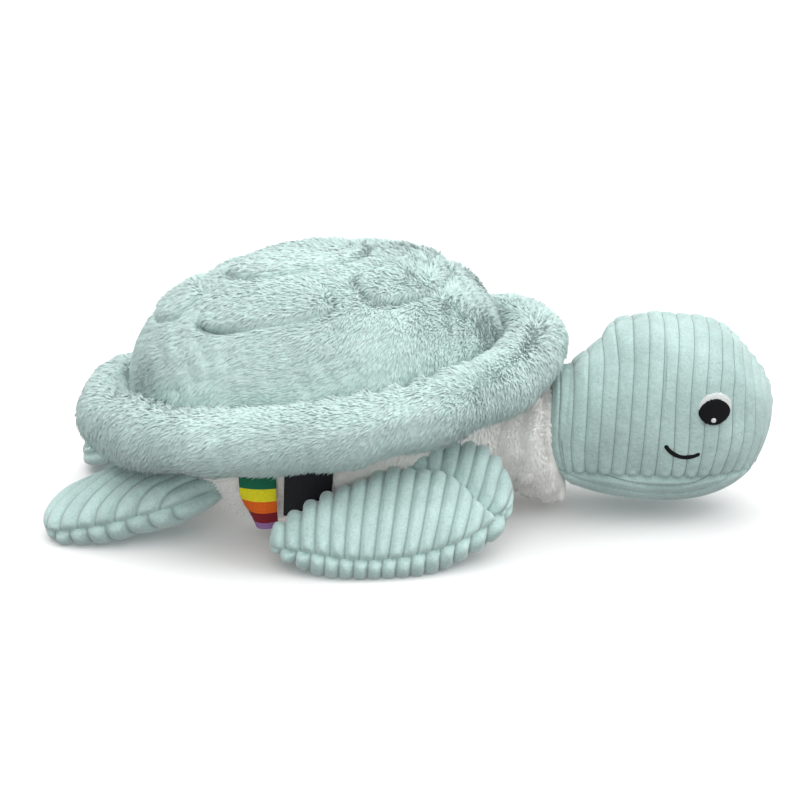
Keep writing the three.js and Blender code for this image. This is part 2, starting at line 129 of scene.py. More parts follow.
def ring_grid(values, around):
    """Two grids: one of the values down its rows, and one of a full turn round its columns."""
    return np.meshgrid(values, np.linspace(0, 2 * math.pi, around, endpoint=False), indexing="ij")


def grid_faces(rows, columns, joined):
    """Corners of the squares of a grid, whose last column may join its first."""
    across = columns if joined else columns - 1
    row, column = np.meshgrid(np.arange(rows - 1), np.arange(across), indexing="ij")
    here, after = row * columns, (column + 1) % columns
    corners = [here + column, here + after, here + columns + after, here + columns + column]
    return np.stack(corners, -1).reshape(-1, 4)


def welded(points, faces):
    """Points without doubles, the faces on them, and the welded point of each first one."""
    _, first, place = np.unique(np.round(points, 6), axis=0, return_index=True, return_inverse=True)
    place = place.reshape(-1)
    return points[first], place[faces], place, first


def normals(points, faces):
    """Outward normal at each point of a mesh of squares, weighted by area."""
    a, b, c, d = (points[faces[:, i]] for i in range(4))
    across = np.cross(c - a, d - b)
    total = np.zeros_like(points)
    for i in range(4):
        np.add.at(total, faces[:, i], across)
    return total / np.maximum(np.linalg.norm(total, axis=1, keepdims=True), 1e-12)


def pushed(points, faces, height):
    """Points moved out along the normals of their mesh."""
    return points + normals(points, faces) * height[:, None]


def mesh_piece(name, points, faces, materials, values=None, face_material=None):
    """Object with a smooth mesh of squares and triangles, and named numbers at its points."""
    mesh = bpy.data.meshes.new(name)
    corners = [list(dict.fromkeys(face)) for face in faces.tolist()]
    kept = [i for i, face in enumerate(corners) if len(face) > 2]
    mesh.from_pydata(points.tolist(), [], [corners[i] for i in kept])
    for material in materials:
        mesh.materials.append(material)
    if face_material is not None:
        mesh.polygons.foreach_set("material_index", np.asarray(face_material)[kept].astype(np.int32))
    for key, value in (values or {}).items():
        kind = "FLOAT_VECTOR" if value.ndim == 2 else "FLOAT"
        attribute = mesh.attributes.new(key, kind, "POINT")
        attribute.data.foreach_set("vector" if value.ndim == 2 else "value", value.astype(np.float32).ravel())
    mesh.polygons.foreach_set("use_smooth", np.ones(len(kept), dtype=bool))
    mesh.update()
    piece = bpy.data.objects.new(name, mesh)
    bpy.context.scene.collection.objects.link(piece)
    return piece


def face_middles(piece):
    """Middle of each face of a piece."""
    return np.array([polygon.center for polygon in piece.data.polygons])


def shaded(colour, share):
    """Lighter or darker colour."""
    return tuple(min(c * share, 1) for c in colour)


def add_node(tree, kind, inputs=None, **settings):
    """Node with its settings, whose inputs are joined to sockets or set to values."""
    made = tree.nodes.new(kind)
    for key, value in settings.items():
        setattr(made, key, value)
    for key, value in (inputs or {}).items():
        if isinstance(value, bpy.types.NodeSocket):
            tree.links.new(value, made.inputs[key])
        else:
            made.inputs[key].default_value = value
    return made


def cloth_material(name, colour, roughness, gloss, sheen=0.0, sheen_roughness=0.5):
    """Material whose shader is set, with its node tree, its shader and the place on the piece."""
    material = bpy.data.materials.new(name)
    material.use_nodes = True
    material.diffuse_color = (*colour, 1)
    tree = material.node_tree
    shader = tree.nodes["Principled BSDF"]
    for label, value in (
        ("Roughness", roughness), ("Specular IOR Level", gloss), ("Sheen Weight", sheen),
        ("Sheen Roughness", sheen_roughness),
    ):
        shader.inputs[label].default_value = value
    return material, tree, shader, add_node(tree, "ShaderNodeTexCoord").outputs["Object"]


def noise(tree, place, scale, detail):
    """Noise at a place."""
    inputs = {"Vector": place, "Scale": scale, "Detail": detail}
    return add_node(tree, "ShaderNodeTexNoise", inputs).outputs["Fac"]


def ramp(tree, factor, low, high):
    """Colour that runs between two stops, each a place on the ramp and a colour."""
    made = add_node(tree, "ShaderNodeValToRGB", {"Fac": factor})
    for element, (place, colour) in zip(made.color_ramp.elements, (low, high)):
        element.position = place
        element.color = (*colour, 1)
    return made.outputs["Color"]


def bump(tree, height, strength, distance, below=None):
    """Normal bent by a height, over another one where that is given."""
    inputs = {"Height": height, "Strength": strength, "Distance": distance}
    if below is not None:
        inputs["Normal"] = below
    return add_node(tree, "ShaderNodeBump", inputs).outputs["Normal"]


def plush_material(name, colour, spread, sheen):
    """Brushed pile: colour drifting in soft patches, with a pale sheen where the tips catch the light."""
    material, tree, shader, place = cloth_material(name, colour, 0.92, 0.15, sheen, 0.55)
    patches = noise(tree, place, 38, 3)
    drift = ramp(tree, patches, (0.3, shaded(colour, 1 - spread)), (0.7, shaded(colour, 1 + spread)))
    tree.links.new(drift, shader.inputs["Base Color"])
    return material


def pile_tree():
    """Geometry nodes that grow tufts of pile over a cloth and leave only the tufts."""
    tree = bpy.data.node_groups.new("pile_growth", "GeometryNodeTree")
    face = tree.interface
    face.new_socket("Geometry", in_out="INPUT", socket_type="NodeSocketGeometry")
    for label, kind in (
        ("Tufts per square metre", "Float"), ("Closest tufts", "Float"), ("Tuft length", "Float"),
        ("Tuft width", "Float"), ("Curl", "Float"), ("Tousle", "Float"), ("Seed", "Int"),
        ("Middle shade", "Material"), ("Light shade", "Material"), ("Deep shade", "Material"),
    ):
        face.new_socket(label, in_out="INPUT", socket_type="NodeSocket" + kind)
    face.new_socket("Geometry", in_out="OUTPUT", socket_type="NodeSocketGeometry")
    given = tree.nodes.new("NodeGroupInput").outputs

    def node(kind, inputs=None, **settings):
        return add_node(tree, kind, inputs, **settings)

    def maths(operation, one, other):
        return node("ShaderNodeMath", {0: one, 1: other}, operation=operation).outputs[0]

    def vectors(operation, one, other):
        second = "Scale" if operation == "SCALE" else 1
        return node("ShaderNodeVectorMath", {0: one, second: other}, operation=operation).outputs[0]

    def named(name, kind):
        return node("GeometryNodeInputNamedAttribute", {"Name": name}, data_type=kind).outputs["Attribute"]

    def chance(low, high, number, kind="FLOAT"):
        one, other, result = {"FLOAT": (2, 3, 1), "FLOAT_VECTOR": (0, 1, 0)}[kind]
        inputs = {one: low, other: high, "Seed": maths("ADD", given["Seed"], float(number))}
        return node("FunctionNodeRandomValue", inputs, data_type=kind).outputs[result]

    # Where the tufts stand, and which way each leans and turns
    points = node("GeometryNodeDistributePointsOnFaces", {
        "Mesh": given["Geometry"], "Distance Min": given["Closest tufts"],
        "Density Max": given["Tufts per square metre"], "Seed": given["Seed"],
    }, distribute_method="POISSON")
    outward = points.outputs["Normal"]
    jitter = vectors("SCALE", chance((-1, -1, -1), (1, 1, 1), 1, "FLOAT_VECTOR"), given["Tousle"])
    leaning = vectors("ADD", vectors("ADD", outward, named("flow", "FLOAT_VECTOR")), jitter)
    aligned = node("FunctionNodeAlignRotationToVector", {"Vector": leaning}, axis="Z")
    upright = node("FunctionNodeAlignRotationToVector", {
        "Rotation": aligned.outputs[0], "Vector": outward,
    }, axis="X", pivot_axis="Z")
    turn = node("FunctionNodeAxisAngleToRotation", {"Axis": (0, 0, 1), "Angle": chance(-0.7, 0.7, 2)})
    rotation = node("FunctionNodeRotateRotation", {
        "Rotation": upright.outputs[0], "Rotate By": turn.outputs[0],
    }, rotation_space="LOCAL")

    # One tuft: a narrow three-sided cone, flattened and bent over towards its tip
    tuft = node("GeometryNodeMeshCone", {
        "Vertices": 3, "Side Segments": 2, "Radius Top": 0.0,
        "Radius Bottom": maths("MULTIPLY", given["Tuft width"], 0.5), "Depth": given["Tuft length"],
    })
    spot = node("ShaderNodeSeparateXYZ", {0: node("GeometryNodeInputPosition").outputs[0]})
    up = maths("POWER", maths("DIVIDE", spot.outputs["Z"], given["Tuft length"]), 2.0)
    bending = maths("MULTIPLY", up, given["Curl"])
    sideways = maths("SUBTRACT", maths("MULTIPLY", spot.outputs["X"], -0.45), bending)
    offset = node("ShaderNodeCombineXYZ", {"X": sideways})
    bent = node("GeometryNodeSetPosition", {"Geometry": tuft.outputs["Mesh"], "Offset": offset.outputs[0]})
    smooth = node("GeometryNodeSetShadeSmooth", {"Geometry": bent.outputs[0]})

    size = maths("MULTIPLY", chance(0.7, 1.25, 3), named("pile", "FLOAT"))
    marked = node("GeometryNodeStoreNamedAttribute", {
        "Geometry": points.outputs["Points"], "Name": "shade", "Value": chance(0.0, 1.0, 4),
    }, data_type="FLOAT", domain="POINT")
    marked = node("GeometryNodeStoreNamedAttribute", {
        "Geometry": marked.outputs[0], "Name": "nap", "Value": outward,
    }, data_type="FLOAT_VECTOR", domain="POINT")
    instances = node("GeometryNodeInstanceOnPoints", {
        "Points": marked.outputs[0], "Instance": smooth.outputs[0],
        "Rotation": rotation.outputs[0], "Scale": size,
    })
    real = node("GeometryNodeRealizeInstances", {"Geometry": instances.outputs[0]})

    # A tuft takes most of its shading from the cloth, as a pile does, and one of three shades
    own = vectors("SCALE", node("GeometryNodeInputNormal").outputs[0], 0.3)
    shading = vectors("ADD", named("nap", "FLOAT_VECTOR"), own)
    shading = node("ShaderNodeVectorMath", {0: shading}, operation="NORMALIZE")
    done = node("GeometryNodeSetMeshNormal", {
        "Mesh": real.outputs[0], "Custom Normal": shading.outputs[0],
    }, mode="FREE", domain="POINT")
    shade = named("shade", "FLOAT")
    light = node("FunctionNodeCompare", {"A": shade, "B": 0.66}, operation="GREATER_THAN")
    deep = node("FunctionNodeCompare", {"A": shade, "B": 0.24}, operation="LESS_THAN")
    for label, chosen in (("Middle shade", None), ("Light shade", light), ("Deep shade", deep)):
        inputs = {"Geometry": done.outputs[0], "Material": given[label]}
        if chosen is not None:
            inputs["Selection"] = chosen.outputs[0]
        done = node("GeometryNodeSetMaterial", inputs)
    tree.links.new(done.outputs[0], tree.nodes.new("NodeGroupOutput").inputs[0])
    return tree


pile_growth = pile_tree()
closest_share = 0.55  # of the mean distance between tufts


def grow_pile(name, cloth, chosen, shades, seed, per_square, length, width, curl, tousle):
    """Tufts over the chosen faces of a cloth, as a plain mesh of its own."""
    mesh = cloth.data.copy()
    grown = bpy.data.objects.new(name, mesh)
    bpy.context.scene.collection.objects.link(grown)
    work = bmesh.new()
    work.from_mesh(mesh)
    gone = [face for face, keep in zip(work.faces, chosen) if not keep]
    bmesh.ops.delete(work, geom=gone, context="FACES")
    work.to_mesh(mesh)
    work.free()
    modifier = grown.modifiers.new("pile", "NODES")
    modifier.node_group = pile_growth
    items = pile_growth.interface.items_tree
    sockets = {item.name: item.identifier for item in items if item.in_out == "INPUT"}
    for label, value in (
        ("Tufts per square metre", per_square), ("Closest tufts", closest_share / math.sqrt(per_square)),
        ("Tuft length", length), ("Tuft width", width), ("Curl", curl), ("Tousle", tousle), ("Seed", seed),
        ("Middle shade", shades[0]), ("Light shade", shades[1]), ("Deep shade", shades[2]),
    ):
        modifier[sockets[label]] = value
    bpy.context.view_layer.update()
    evaluated = grown.evaluated_get(bpy.context.evaluated_depsgraph_get())
    plain = bpy.data.meshes.new_from_object(evaluated)
    grown.modifiers.remove(modifier)
    grown.data = plain
    plain.name = name
    for key in ("shade", "flow", "pile", "nap"):
        if key in plain.attributes:
            plain.attributes.remove(plain.attributes[key])
    return grown


def tangent(way, outward):
    """The part of a direction that lies along a surface."""
    return way - outward * np.sum(way * outward, axis=-1, keepdims=True)


def brushed(points, outward, way, strength, swirling=0.0, length=1.0, seed=0):
    """How far and which way the nap leans at each point: brushed one way, and swirled."""
    swirl = np.stack([unevenness(points, length, seed + i) for i in range(3)], -1)
    return strength * tangent(np.array(way), outward) + swirling * tangent(swirl, outward)


def bell(distance, reach):
    """Smooth bump that is 1 at no distance and dies away past its reach."""
    return np.exp(-((distance / reach) ** 2))


def quilting(share, angle, points):
    """Height of the quilting above the plain dome, and how deep each place lies in a channel."""
    mean_reach = (dome_half_length + dome_half_width) / 2
    step = 2 * math.pi / petal_count
    off = (angle - petal_first_turn + step / 2) % step - step / 2
    along, out = np.abs(off) / petal_half_turn, np.abs(share - petal_middle_share) / petal_half_share
    size = np.maximum((along ** petal_roundness + out ** petal_roundness) ** (1 / petal_roundness), 1e-6)
    slope = np.hypot(
        (along / size) ** (petal_roundness - 1) / (petal_half_turn * petal_middle_share),
        (out / size) ** (petal_roundness - 1) / petal_half_share) / mean_reach
    to_petal = (size - 1) / np.maximum(slope, 1e-6)
    to_middle = (share - middle_scute_share) * mean_reach
    on_arc = (out / size) ** petal_roundness
    one_sided = np.tanh(petal_pull_steepness * off / petal_half_turn + petal_pull_bias)
    by_petal = np.clip(petal_pull - petal_pull_change * on_arc * one_sided, petal_pull_least, 1)
    uneven = middle_pull_change * unevenness(points, middle_pull_length, 11)
    by_middle = np.clip(middle_pull + uneven, middle_pull_least, 1)
    channel = np.maximum(
        by_petal * bell(to_petal, channel_half_width), by_middle * bell(to_middle, channel_half_width))
    inside = np.clip(np.maximum(-to_petal, -to_middle) / scute_edge, 0, 1)
    return scute_swell * inside - channel_depth * channel, channel


dome_shares = 1 - (1 - np.linspace(0, 1, dome_rows)[1:-1]) ** dome_row_crowding
dome_shares = np.concatenate([[0.0], dome_shares, [1.0]])[::-1]
share, angle = ring_grid(dome_shares, dome_columns)
crown = dome_rise * (1 - share ** dome_crown_power) ** (1 / dome_crown_power)
flat_x = dome_half_length * share * squared(np.cos(angle), plan_power)
flat_y = dome_half_width * share * squared(np.sin(angle), plan_power)
relief, channel = (v.reshape(-1) for v in quilting(share, angle, from_shell(flat_x, flat_y, crown)))
skirt = from_shell(flat_x[0] * skirt_share, flat_y[0] * skirt_share, 0 * flat_x[0])
points = np.concatenate([skirt, from_shell(flat_x, flat_y, seam_half_gap + crown).reshape(-1, 3)])
relief, channel = (np.concatenate([np.zeros(dome_columns), v]) for v in (relief, channel))
points, faces, _, first = welded(points, grid_faces(len(dome_shares) + 1, dome_columns, True))
relief, channel = relief[first], channel[first]
points = pushed(points, faces, relief + slackness(points, dome_slack))
flow = brushed(points, normals(points, faces), nap_way, dome_brushing, dome_swirling, dome_swirl_length, 21)
# The cloth under the tufts is painted darker, as shade in the gaps between them
mint_shaded_ground = plush_material("mint_plush_shaded_ground", mint_plush_deep_and_shade, 0.03, 0.1)
mint_shades = [
    plush_material("mint_plush_pile", mint_plush, 0.04, 0.15),
    plush_material("mint_plush_tips", shaded(mint_plush, 1.05), 0.03, 0.15),
    plush_material("mint_plush_depths", mint_plush_deep_and_shade, 0.03, 0.15),
]
standing = 1 - channel_wear * channel
dome_cloth = mesh_piece("dome_cloth", points, faces, [mint_shaded_ground], {"flow": flow, "pile": standing})
middles = face_middles(dome_cloth)
ahead = middles[:, 0] >= shell_middle[0] + parting_wave * unevenness(middles, parting_length, 24)
right = middles[:, 1] < parting_wave * unevenness(middles, parting_length, 25)
dome_piles = [
    grow_pile(name, dome_cloth, quarter, mint_shades, seed, **dome_tufts)
    for name, quarter, seed in (
        ("dome_pile_right_front", right & ahead, 5), ("dome_pile_right_rear", right & ~ahead, 10),
        ("dome_pile_left_front", ~right & ahead, 6), ("dome_pile_left_rear", ~right & ~ahead, 11),
    )
]
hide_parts("shell_dome_cover", "body_stuffing")
for piece in [dome_cloth, *dome_piles]:
    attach(piece, "torso")


# Shell rim
# A fat roll of the same plush sewn into the seam round the body and stuffed apart from it, softly
# gathered where it meets the dome. It sags a little at the sides.

rim_half_length = 0.1165
rim_half_width = 0.094
rim_forward = 0.0015
rim_radius = 0.0165
rim_sag = 0.006
rim_columns = 460
rim_turns = 60
seat_gap = 0.0003
rim_slack = ((0.0013, 0.05, 31), (0.0006, 0.014, 32))
gather_turn, gather_half_turn = -2.05, 0.5
gather_depth = 0.0013
gather_count = 52
rim_nap_way, rim_brushing, rim_swirling, rim_swirl_length = (-0.8, -0.1, -0.8), 1.3, 0.85, 0.07
rim_tufts = {"per_square": 1.38e6, "length": 0.0040, "width": 0.0016, "curl": 0.0012, "tousle": 0.36}
rim_pile_half_turn = 2.45  # the roll's side that lies on the dome stays bare


def rim_points(angle, turn, radius):
    """Points of the roll's section, round outside and flat where it lies against the body."""
    along, across = squared(np.cos(angle), plan_power), squared(np.sin(angle), plan_power)
    sag = -rim_sag * np.sin(angle) ** 2
    middle = np.stack([rim_forward + rim_half_length * along, rim_half_width * across, sag], -1)
    way = np.stack([rim_half_width * np.cos(angle), rim_half_length * np.sin(angle), 0 * angle], -1)
    way /= np.linalg.norm(way, axis=-1, keepdims=True)
    edge = np.stack([dome_half_length * along, dome_half_width * across, sag], -1)
    room = np.sum((middle - edge) * way, -1) - seat_gap
    reach = np.maximum(radius * np.cos(turn), -room)
    spot = middle + way * reach[..., None]
    return from_shell(spot[..., 0], spot[..., 1], spot[..., 2] - radius * np.sin(turn))


turns = np.linspace(-math.pi, math.pi, rim_turns, endpoint=False)
turn, angle = ring_grid(turns, rim_columns)
gather = bell(turn - gather_turn, gather_half_turn)
wave = np.sin(gather_count * angle + 3 * np.sin(3 * angle)) * (0.55 + 0.45 * np.sin(5 * angle + 1))
points = rim_points(angle, turn, rim_radius + gather_depth * gather * wave).reshape(-1, 3)
faces = (grid_faces(rim_turns + 1, rim_columns, True) % len(points))[:, ::-1]
points = pushed(points, faces, slackness(points, rim_slack))
flow = brushed(points, normals(points, faces), rim_nap_way, rim_brushing, rim_swirling, rim_swirl_length, 41)
standing = np.ones(len(points))
rim_cloth = mesh_piece("rim_cloth", points, faces, [mint_shaded_ground], {"flow": flow, "pile": standing})
middles = face_middles(rim_cloth)
right = middles[:, 1] < 0
ahead = middles[:, 0] >= shell_middle[0] + parting_wave * unevenness(middles, parting_length, 45)
facing = np.abs(turn).reshape(-1)[faces[:, 0]] < rim_pile_half_turn
rim_piles = [
    grow_pile(name, rim_cloth, facing & quarter, mint_shades, seed, **rim_tufts)
    for name, quarter, seed in (
        ("rim_pile_right_front", right & ahead, 7), ("rim_pile_right_rear", right & ~ahead, 12),
        ("rim_pile_left_front", ~right & ahead, 8), ("rim_pile_left_rear", ~right & ~ahead, 13),
    )
]
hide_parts("shell_rim_cover", "shell_rim_stuffing")
for piece in [rim_cloth, *rim_piles]:
    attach(piece, "torso")


# Belly
# The lower half of the body in short white plush, closed to the dome in the seam under the rim. It
# rests on a flat patch of itself.

belly_depth = 0.079
belly_power = 2.05
belly_front_power = 4
belly_columns = 220
belly_rows = 60
belly_slack = ((0.0009, 0.04, 51),)
floor_gap = 0.0004
white_plush = (0.97, 0.97, 0.93)
belly_tufts = {"per_square": 0.37e6, "length": 0.0026, "width": 0.0019, "curl": 0.0008, "tousle": 0.4}
belly_nap_way, belly_brushing = (-0.6, 0.0, -0.8), 1.5
pressed_to, pressed_fade = 0.003, 0.004  # heights over which the pile is pressed short on the floor
belly_pile_heights = (0.006, 0.07)

lean, angle = ring_grid(np.linspace(0, math.pi / 2, belly_rows), belly_columns)
power = belly_power + (belly_front_power - belly_power) * np.maximum(np.cos(angle), 0) ** 2
radial = squared(np.cos(lean), power)
radial[-1] = 0
points = from_shell(
    dome_half_length * radial * squared(np.cos(angle), plan_power),
    dome_half_width * radial * squared(np.sin(angle), plan_power),
    -seam_half_gap - belly_depth * squared(np.sin(lean), power),
).reshape(-1, 3)
points, faces, _, _ = welded(points, grid_faces(belly_rows, belly_columns, True)[:, ::-1])
points = pushed(points, faces, slackness(points, belly_slack))
points[:, 2] = np.maximum(points[:, 2], floor_gap)
flow = brushed(points, normals(points, faces), belly_nap_way, belly_brushing)
standing = np.clip((points[:, 2] - pressed_to) / pressed_fade, 0.05, 1)
white_ground = plush_material("white_plush_ground", white_plush, 0.03, 0.3)
white_shades = [
    plush_material("white_plush_pile", white_plush, 0.03, 0.3),
    plush_material("white_plush_tips", tuple(min(1.03 * c, 0.98) for c in white_plush), 0.02, 0.3),
    plush_material("white_plush_depths", shaded(white_plush, 0.98), 0.03, 0.3),
]
belly_cloth = mesh_piece("belly_cloth", points, faces, [white_ground], {"flow": flow, "pile": standing})
height = face_middles(belly_cloth)[:, 2]
shown = (height > belly_pile_heights[0]) & (height < belly_pile_heights[1])
belly_pile = grow_pile("belly_pile", belly_cloth, shown, white_shades, 9, **belly_tufts)
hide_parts("belly_cover")
for piece in [belly_cloth, belly_pile]:
    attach(piece, "torso")


# Labels
# Two woven ribbons sewn into the seam under the rim, which hang in front of the belly: one in
# plain coloured stripes and a wider one in black.

stripe_colours = [
    ("lilac", (0.30, 0.16, 0.36)), ("red", (0.20, 0.012, 0.02)), ("orange", (0.75, 0.13, 0.012)),
    ("yellow", (0.78, 0.70, 0.02)), ("green", (0.008, 0.13, 0.065)), ("navy", (0.008, 0.05, 0.11)),
]
stripe_length = 0.0074
stripe_start = 0.0030  # how much of the lowest stripe the hem leaves out
ribbon_thickness = 0.0007
ribbon_rows = 90
ribbon_columns = 24
ribbon_smoothing = 12  # rows on each side over which its path is rounded
cup_narrowing = 0.06
cup_depths = (0.0016, 0.002)  # at the seam, and what is added at the hem
ripple, ripple_turn = 0.0006, 5
curl_start, curl_edge = 0.5, 0.5  # where the curl begins, as shares of the length and the half width
thread_pitches = (("X", 0.0005), ("Z", 0.0004))
striped_middle, striped_width, striped_curl = -0.07834, 0.020, math.radians(120)
black_middle, black_width, black_shift = -0.05034, 0.026, -0.003
black_ribbon_colour = (0.012, 0.013, 0.015)
# The paths are lists of (y, z) from the seam down
striped_path = [
    (-0.080, 0.055), (-0.0793, 0.048), (-0.0785, 0.041), (-0.0775, 0.032), (-0.0755, 0.022),
    (-0.0712, 0.0120), (-0.069, 0.0088),
]
black_path = [(-0.0817, 0.057), (-0.0805, 0.049), (-0.0790, 0.041), (-0.0768, 0.032), (-0.0738, 0.0175)]


def ribbon_material(name, colour):
    """Woven satin ribbon: fine threads across and along, and a soft gloss."""
    material, tree, shader, place = cloth_material(name, colour, 0.7, 0.2)
    slubs = ramp(tree, noise(tree, place, 900, 2), (0, shaded(colour, 0.8)), (1, shaded(colour, 1.25)))
    tree.links.new(slubs, shader.inputs["Base Color"])
    threads = [
        add_node(tree, "ShaderNodeTexWave", {"Vector": place, "Scale": 0.314 / (2 * math.pi * pitch)},
                 bands_direction=axis).outputs["Fac"]
        for axis, pitch in thread_pitches
    ]
    weave = add_node(tree, "ShaderNodeMath", {0: threads[0], 1: threads[1]}, operation="ADD")
    tree.links.new(bump(tree, weave.outputs[0], 0.25, 0.0002), shader.inputs["Normal"])
    return material


def ribbon(name, middle, width, path, materials, curl=0.0, shift=0.0):
    """Ribbon that hangs along its path, cupped a little across; its lower left edge may curl back."""
    path = np.asarray(path)
    gone = np.concatenate([[0], np.cumsum(np.linalg.norm(np.diff(path, axis=0), axis=1))])
    length = gone[-1]
    down = np.linspace(0, length, ribbon_rows)
    y, z = (np.interp(down, gone, path[:, i]) for i in range(2))
    kernel = np.hanning(2 * ribbon_smoothing + 1)
    y = np.convolve(np.pad(y, ribbon_smoothing, "edge"), kernel / kernel.sum(), "valid")
    share = (down / length)[:, None]
    u = np.linspace(-1, 1, ribbon_columns)[None, :]
    x = middle + width / 2 * u * (1 - cup_narrowing * share)
    bow = (cup_depths[0] + cup_depths[1] * share) * u ** 2 - ripple * np.sin(ripple_turn * share) * u
    curled = np.clip((share - curl_start) / (1 - curl_start), 0, 1)
    bend = curl * curled * (np.clip(curl_edge - u[:, :-1], 0, None) / (1 + curl_edge)) ** 1.3
    step = np.diff(x, axis=1)
    x[:, :-1] += np.cumsum((step * (1 - np.cos(bend)))[:, ::-1], axis=1)[:, ::-1]
    bow[:, :-1] += np.cumsum((step * np.sin(bend))[:, ::-1], axis=1)[:, ::-1]
    front = np.stack([x + shift * share, y[:, None] + bow, np.broadcast_to(z[:, None], x.shape)], -1)
    back = front + np.array([0, ribbon_thickness, 0])
    around = 2 * ribbon_columns
    faces = grid_faces(ribbon_rows, around, True)[:, ::-1]
    edge = np.arange(ribbon_columns - 1)
    hem = np.stack([edge, edge + 1, around - 2 - edge, around - 1 - edge], -1)
    faces = np.concatenate([faces, hem, (hem + (ribbon_rows - 1) * around)[:, ::-1]])
    up = length - down[faces[:, 0] // around]
    slots = np.minimum((up + stripe_start) / stripe_length, len(materials) - 1).astype(int)
    loop = np.concatenate([front, back[:, ::-1]], 1).reshape(-1, 3)
    return mesh_piece(name, loop, faces, materials, face_material=slots), length


stripes = [ribbon_material("ribbon_" + name, colour) for name, colour in stripe_colours]
striped, length = ribbon(
    "striped_ribbon", striped_middle, striped_width, striped_path, stripes, curl=striped_curl)
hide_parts("striped_label")
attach(striped, "torso")

black_woven = ribbon_material("ribbon_black", black_ribbon_colour)
black, length = ribbon(
    "black_ribbon", black_middle, black_width, black_path, [black_woven], shift=black_shift)
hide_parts("black_label")
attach(black, "torso")


# Neck
# A short tube of white plush between the body and the head, softly stuffed and wrinkled in folds
# round it. It is made in two pieces that meet inside its pile.

neck_start, neck_end = 0.0297, 0.0795
neck_heights = (0.047, 0.041)
neck_radii = (0.026, 0.0315)
neck_sag = 0.0055
neck_columns = 150
neck_row = 0.0009
neck_meeting, neck_lap = 0.062, 0.002
head_back_lean = 0.15
nape_follow = 0.010
neck_curl, neck_curl_share = 0.007, 0.98  # its front edge is turned in this far
neck_end_rows = 6
fold_length, fold_drift = 0.012, 2.5
fold_height, fold_crest = 0.0022, 0.3
neck_slack = 0.001
pile_end, pile_end_height = 0.0745, 0.048  # x where the pile thins at the head, and the height it holds at
pile_end_fade, pile_end_least = 0.003, 0.3
nape_height, nape_bottom, nape_power = 0.050, 0.016, 1.6  # heights over which the nape curves in
neck_nap_way, neck_brushing, neck_swirling, neck_swirl_length = (-0.5, 0.0, -0.8), 0.9, 0.8, 0.03
neck_tufts = {"per_square": 1.15e6, "length": 0.0031, "width": 0.0016, "curl": 0.0009, "tousle": 0.45}


def neck_part(name, low, high, seed):
    """Cloth of one part of the neck: open towards the body, and the front one closed against the head."""
    at_head = high == neck_end
    along, angle = ring_grid(np.linspace(0, 1, int((high - low) / neck_row)), neck_columns)
    under = np.maximum(-np.sin(angle), 0)
    lean = (head_back_lean * neck_radii[1] * np.sin(angle) + nape_follow * under ** 1.5) * at_head
    x = low + (high - low + lean) * along
    share = (x - neck_start) / (neck_end - neck_start)
    ring = np.stack([x, np.cos(angle) * 0.03, np.sin(angle) * 0.03], -1)
    folds = np.sin(x / fold_length * 2 * math.pi + fold_drift * unevenness(ring, 0.03, 61))
    folds = np.minimum(folds, fold_crest) * np.clip(0.4 + 0.7 * unevenness(ring, 0.025, 62), 0, 1)
    radius = neck_radii[0] + (neck_radii[1] - neck_radii[0]) * share
    radius += fold_height * folds + neck_slack * unevenness(ring, 0.012, 63)
    to_end = np.clip(1 - (neck_end + lean - x) / neck_curl, 0, 1) * at_head
    radius += neck_sag * under ** 2 * np.clip(share, 0, 1)
    radius -= neck_curl * (1 - np.sqrt(1 - neck_curl_share * to_end ** 2))
    height = neck_heights[0] + (neck_heights[1] - neck_heights[0]) * share
    points = np.stack([x, radius * np.cos(angle), height + radius * np.sin(angle)], -1)
    bare = 0
    if at_head:
        middle = np.array([points[-1, :, 0].mean(), 0, height[-1, 0]])
        inward = np.linspace(0, 1, neck_end_rows + 1)[1:, None, None]
        points = np.concatenate([points, points[-1:] + (middle - points[-1:]) * inward])
        bare = neck_end_rows * neck_columns
    points, faces, _, _ = welded(points.reshape(-1, 3), grid_faces(len(points), neck_columns, True))
    grown = np.arange(len(faces)) < len(faces) - bare
    out = normals(points, faces)
    flow = brushed(points, out, neck_nap_way, neck_brushing, neck_swirling, neck_swirl_length, 71)
    pile_limit = pile_end + head_back_lean * (points[:, 2] - pile_end_height)
    low_share = np.clip((nape_height - points[:, 2]) / (nape_height - nape_bottom), 0, 1)
    pile_limit += nape_follow * low_share ** nape_power
    standing = np.clip(1 - (points[:, 0] - pile_limit) / pile_end_fade, pile_end_least, 1)
    cloth = mesh_piece(name + "_cloth", points, faces, [white_ground], {"flow": flow, "pile": standing})
    return cloth, grow_pile(name + "_pile", cloth, grown, white_shades, seed, **neck_tufts)


neck_rear = neck_part("neck_rear", neck_start, neck_meeting + neck_lap, 81)
neck_front = neck_part("neck_front", neck_meeting - neck_lap, neck_end, 82)
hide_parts("neck_cover", "neck_stuffing")
for piece in neck_rear:
    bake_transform(piece)
for piece in neck_front:
    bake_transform(piece)


# Head
# Two side panels of wide-wale mint velour, joined over the top and down the nose, and a gusset
# under the chin. The wales run up and down the sides and lengthwise along the gusset.

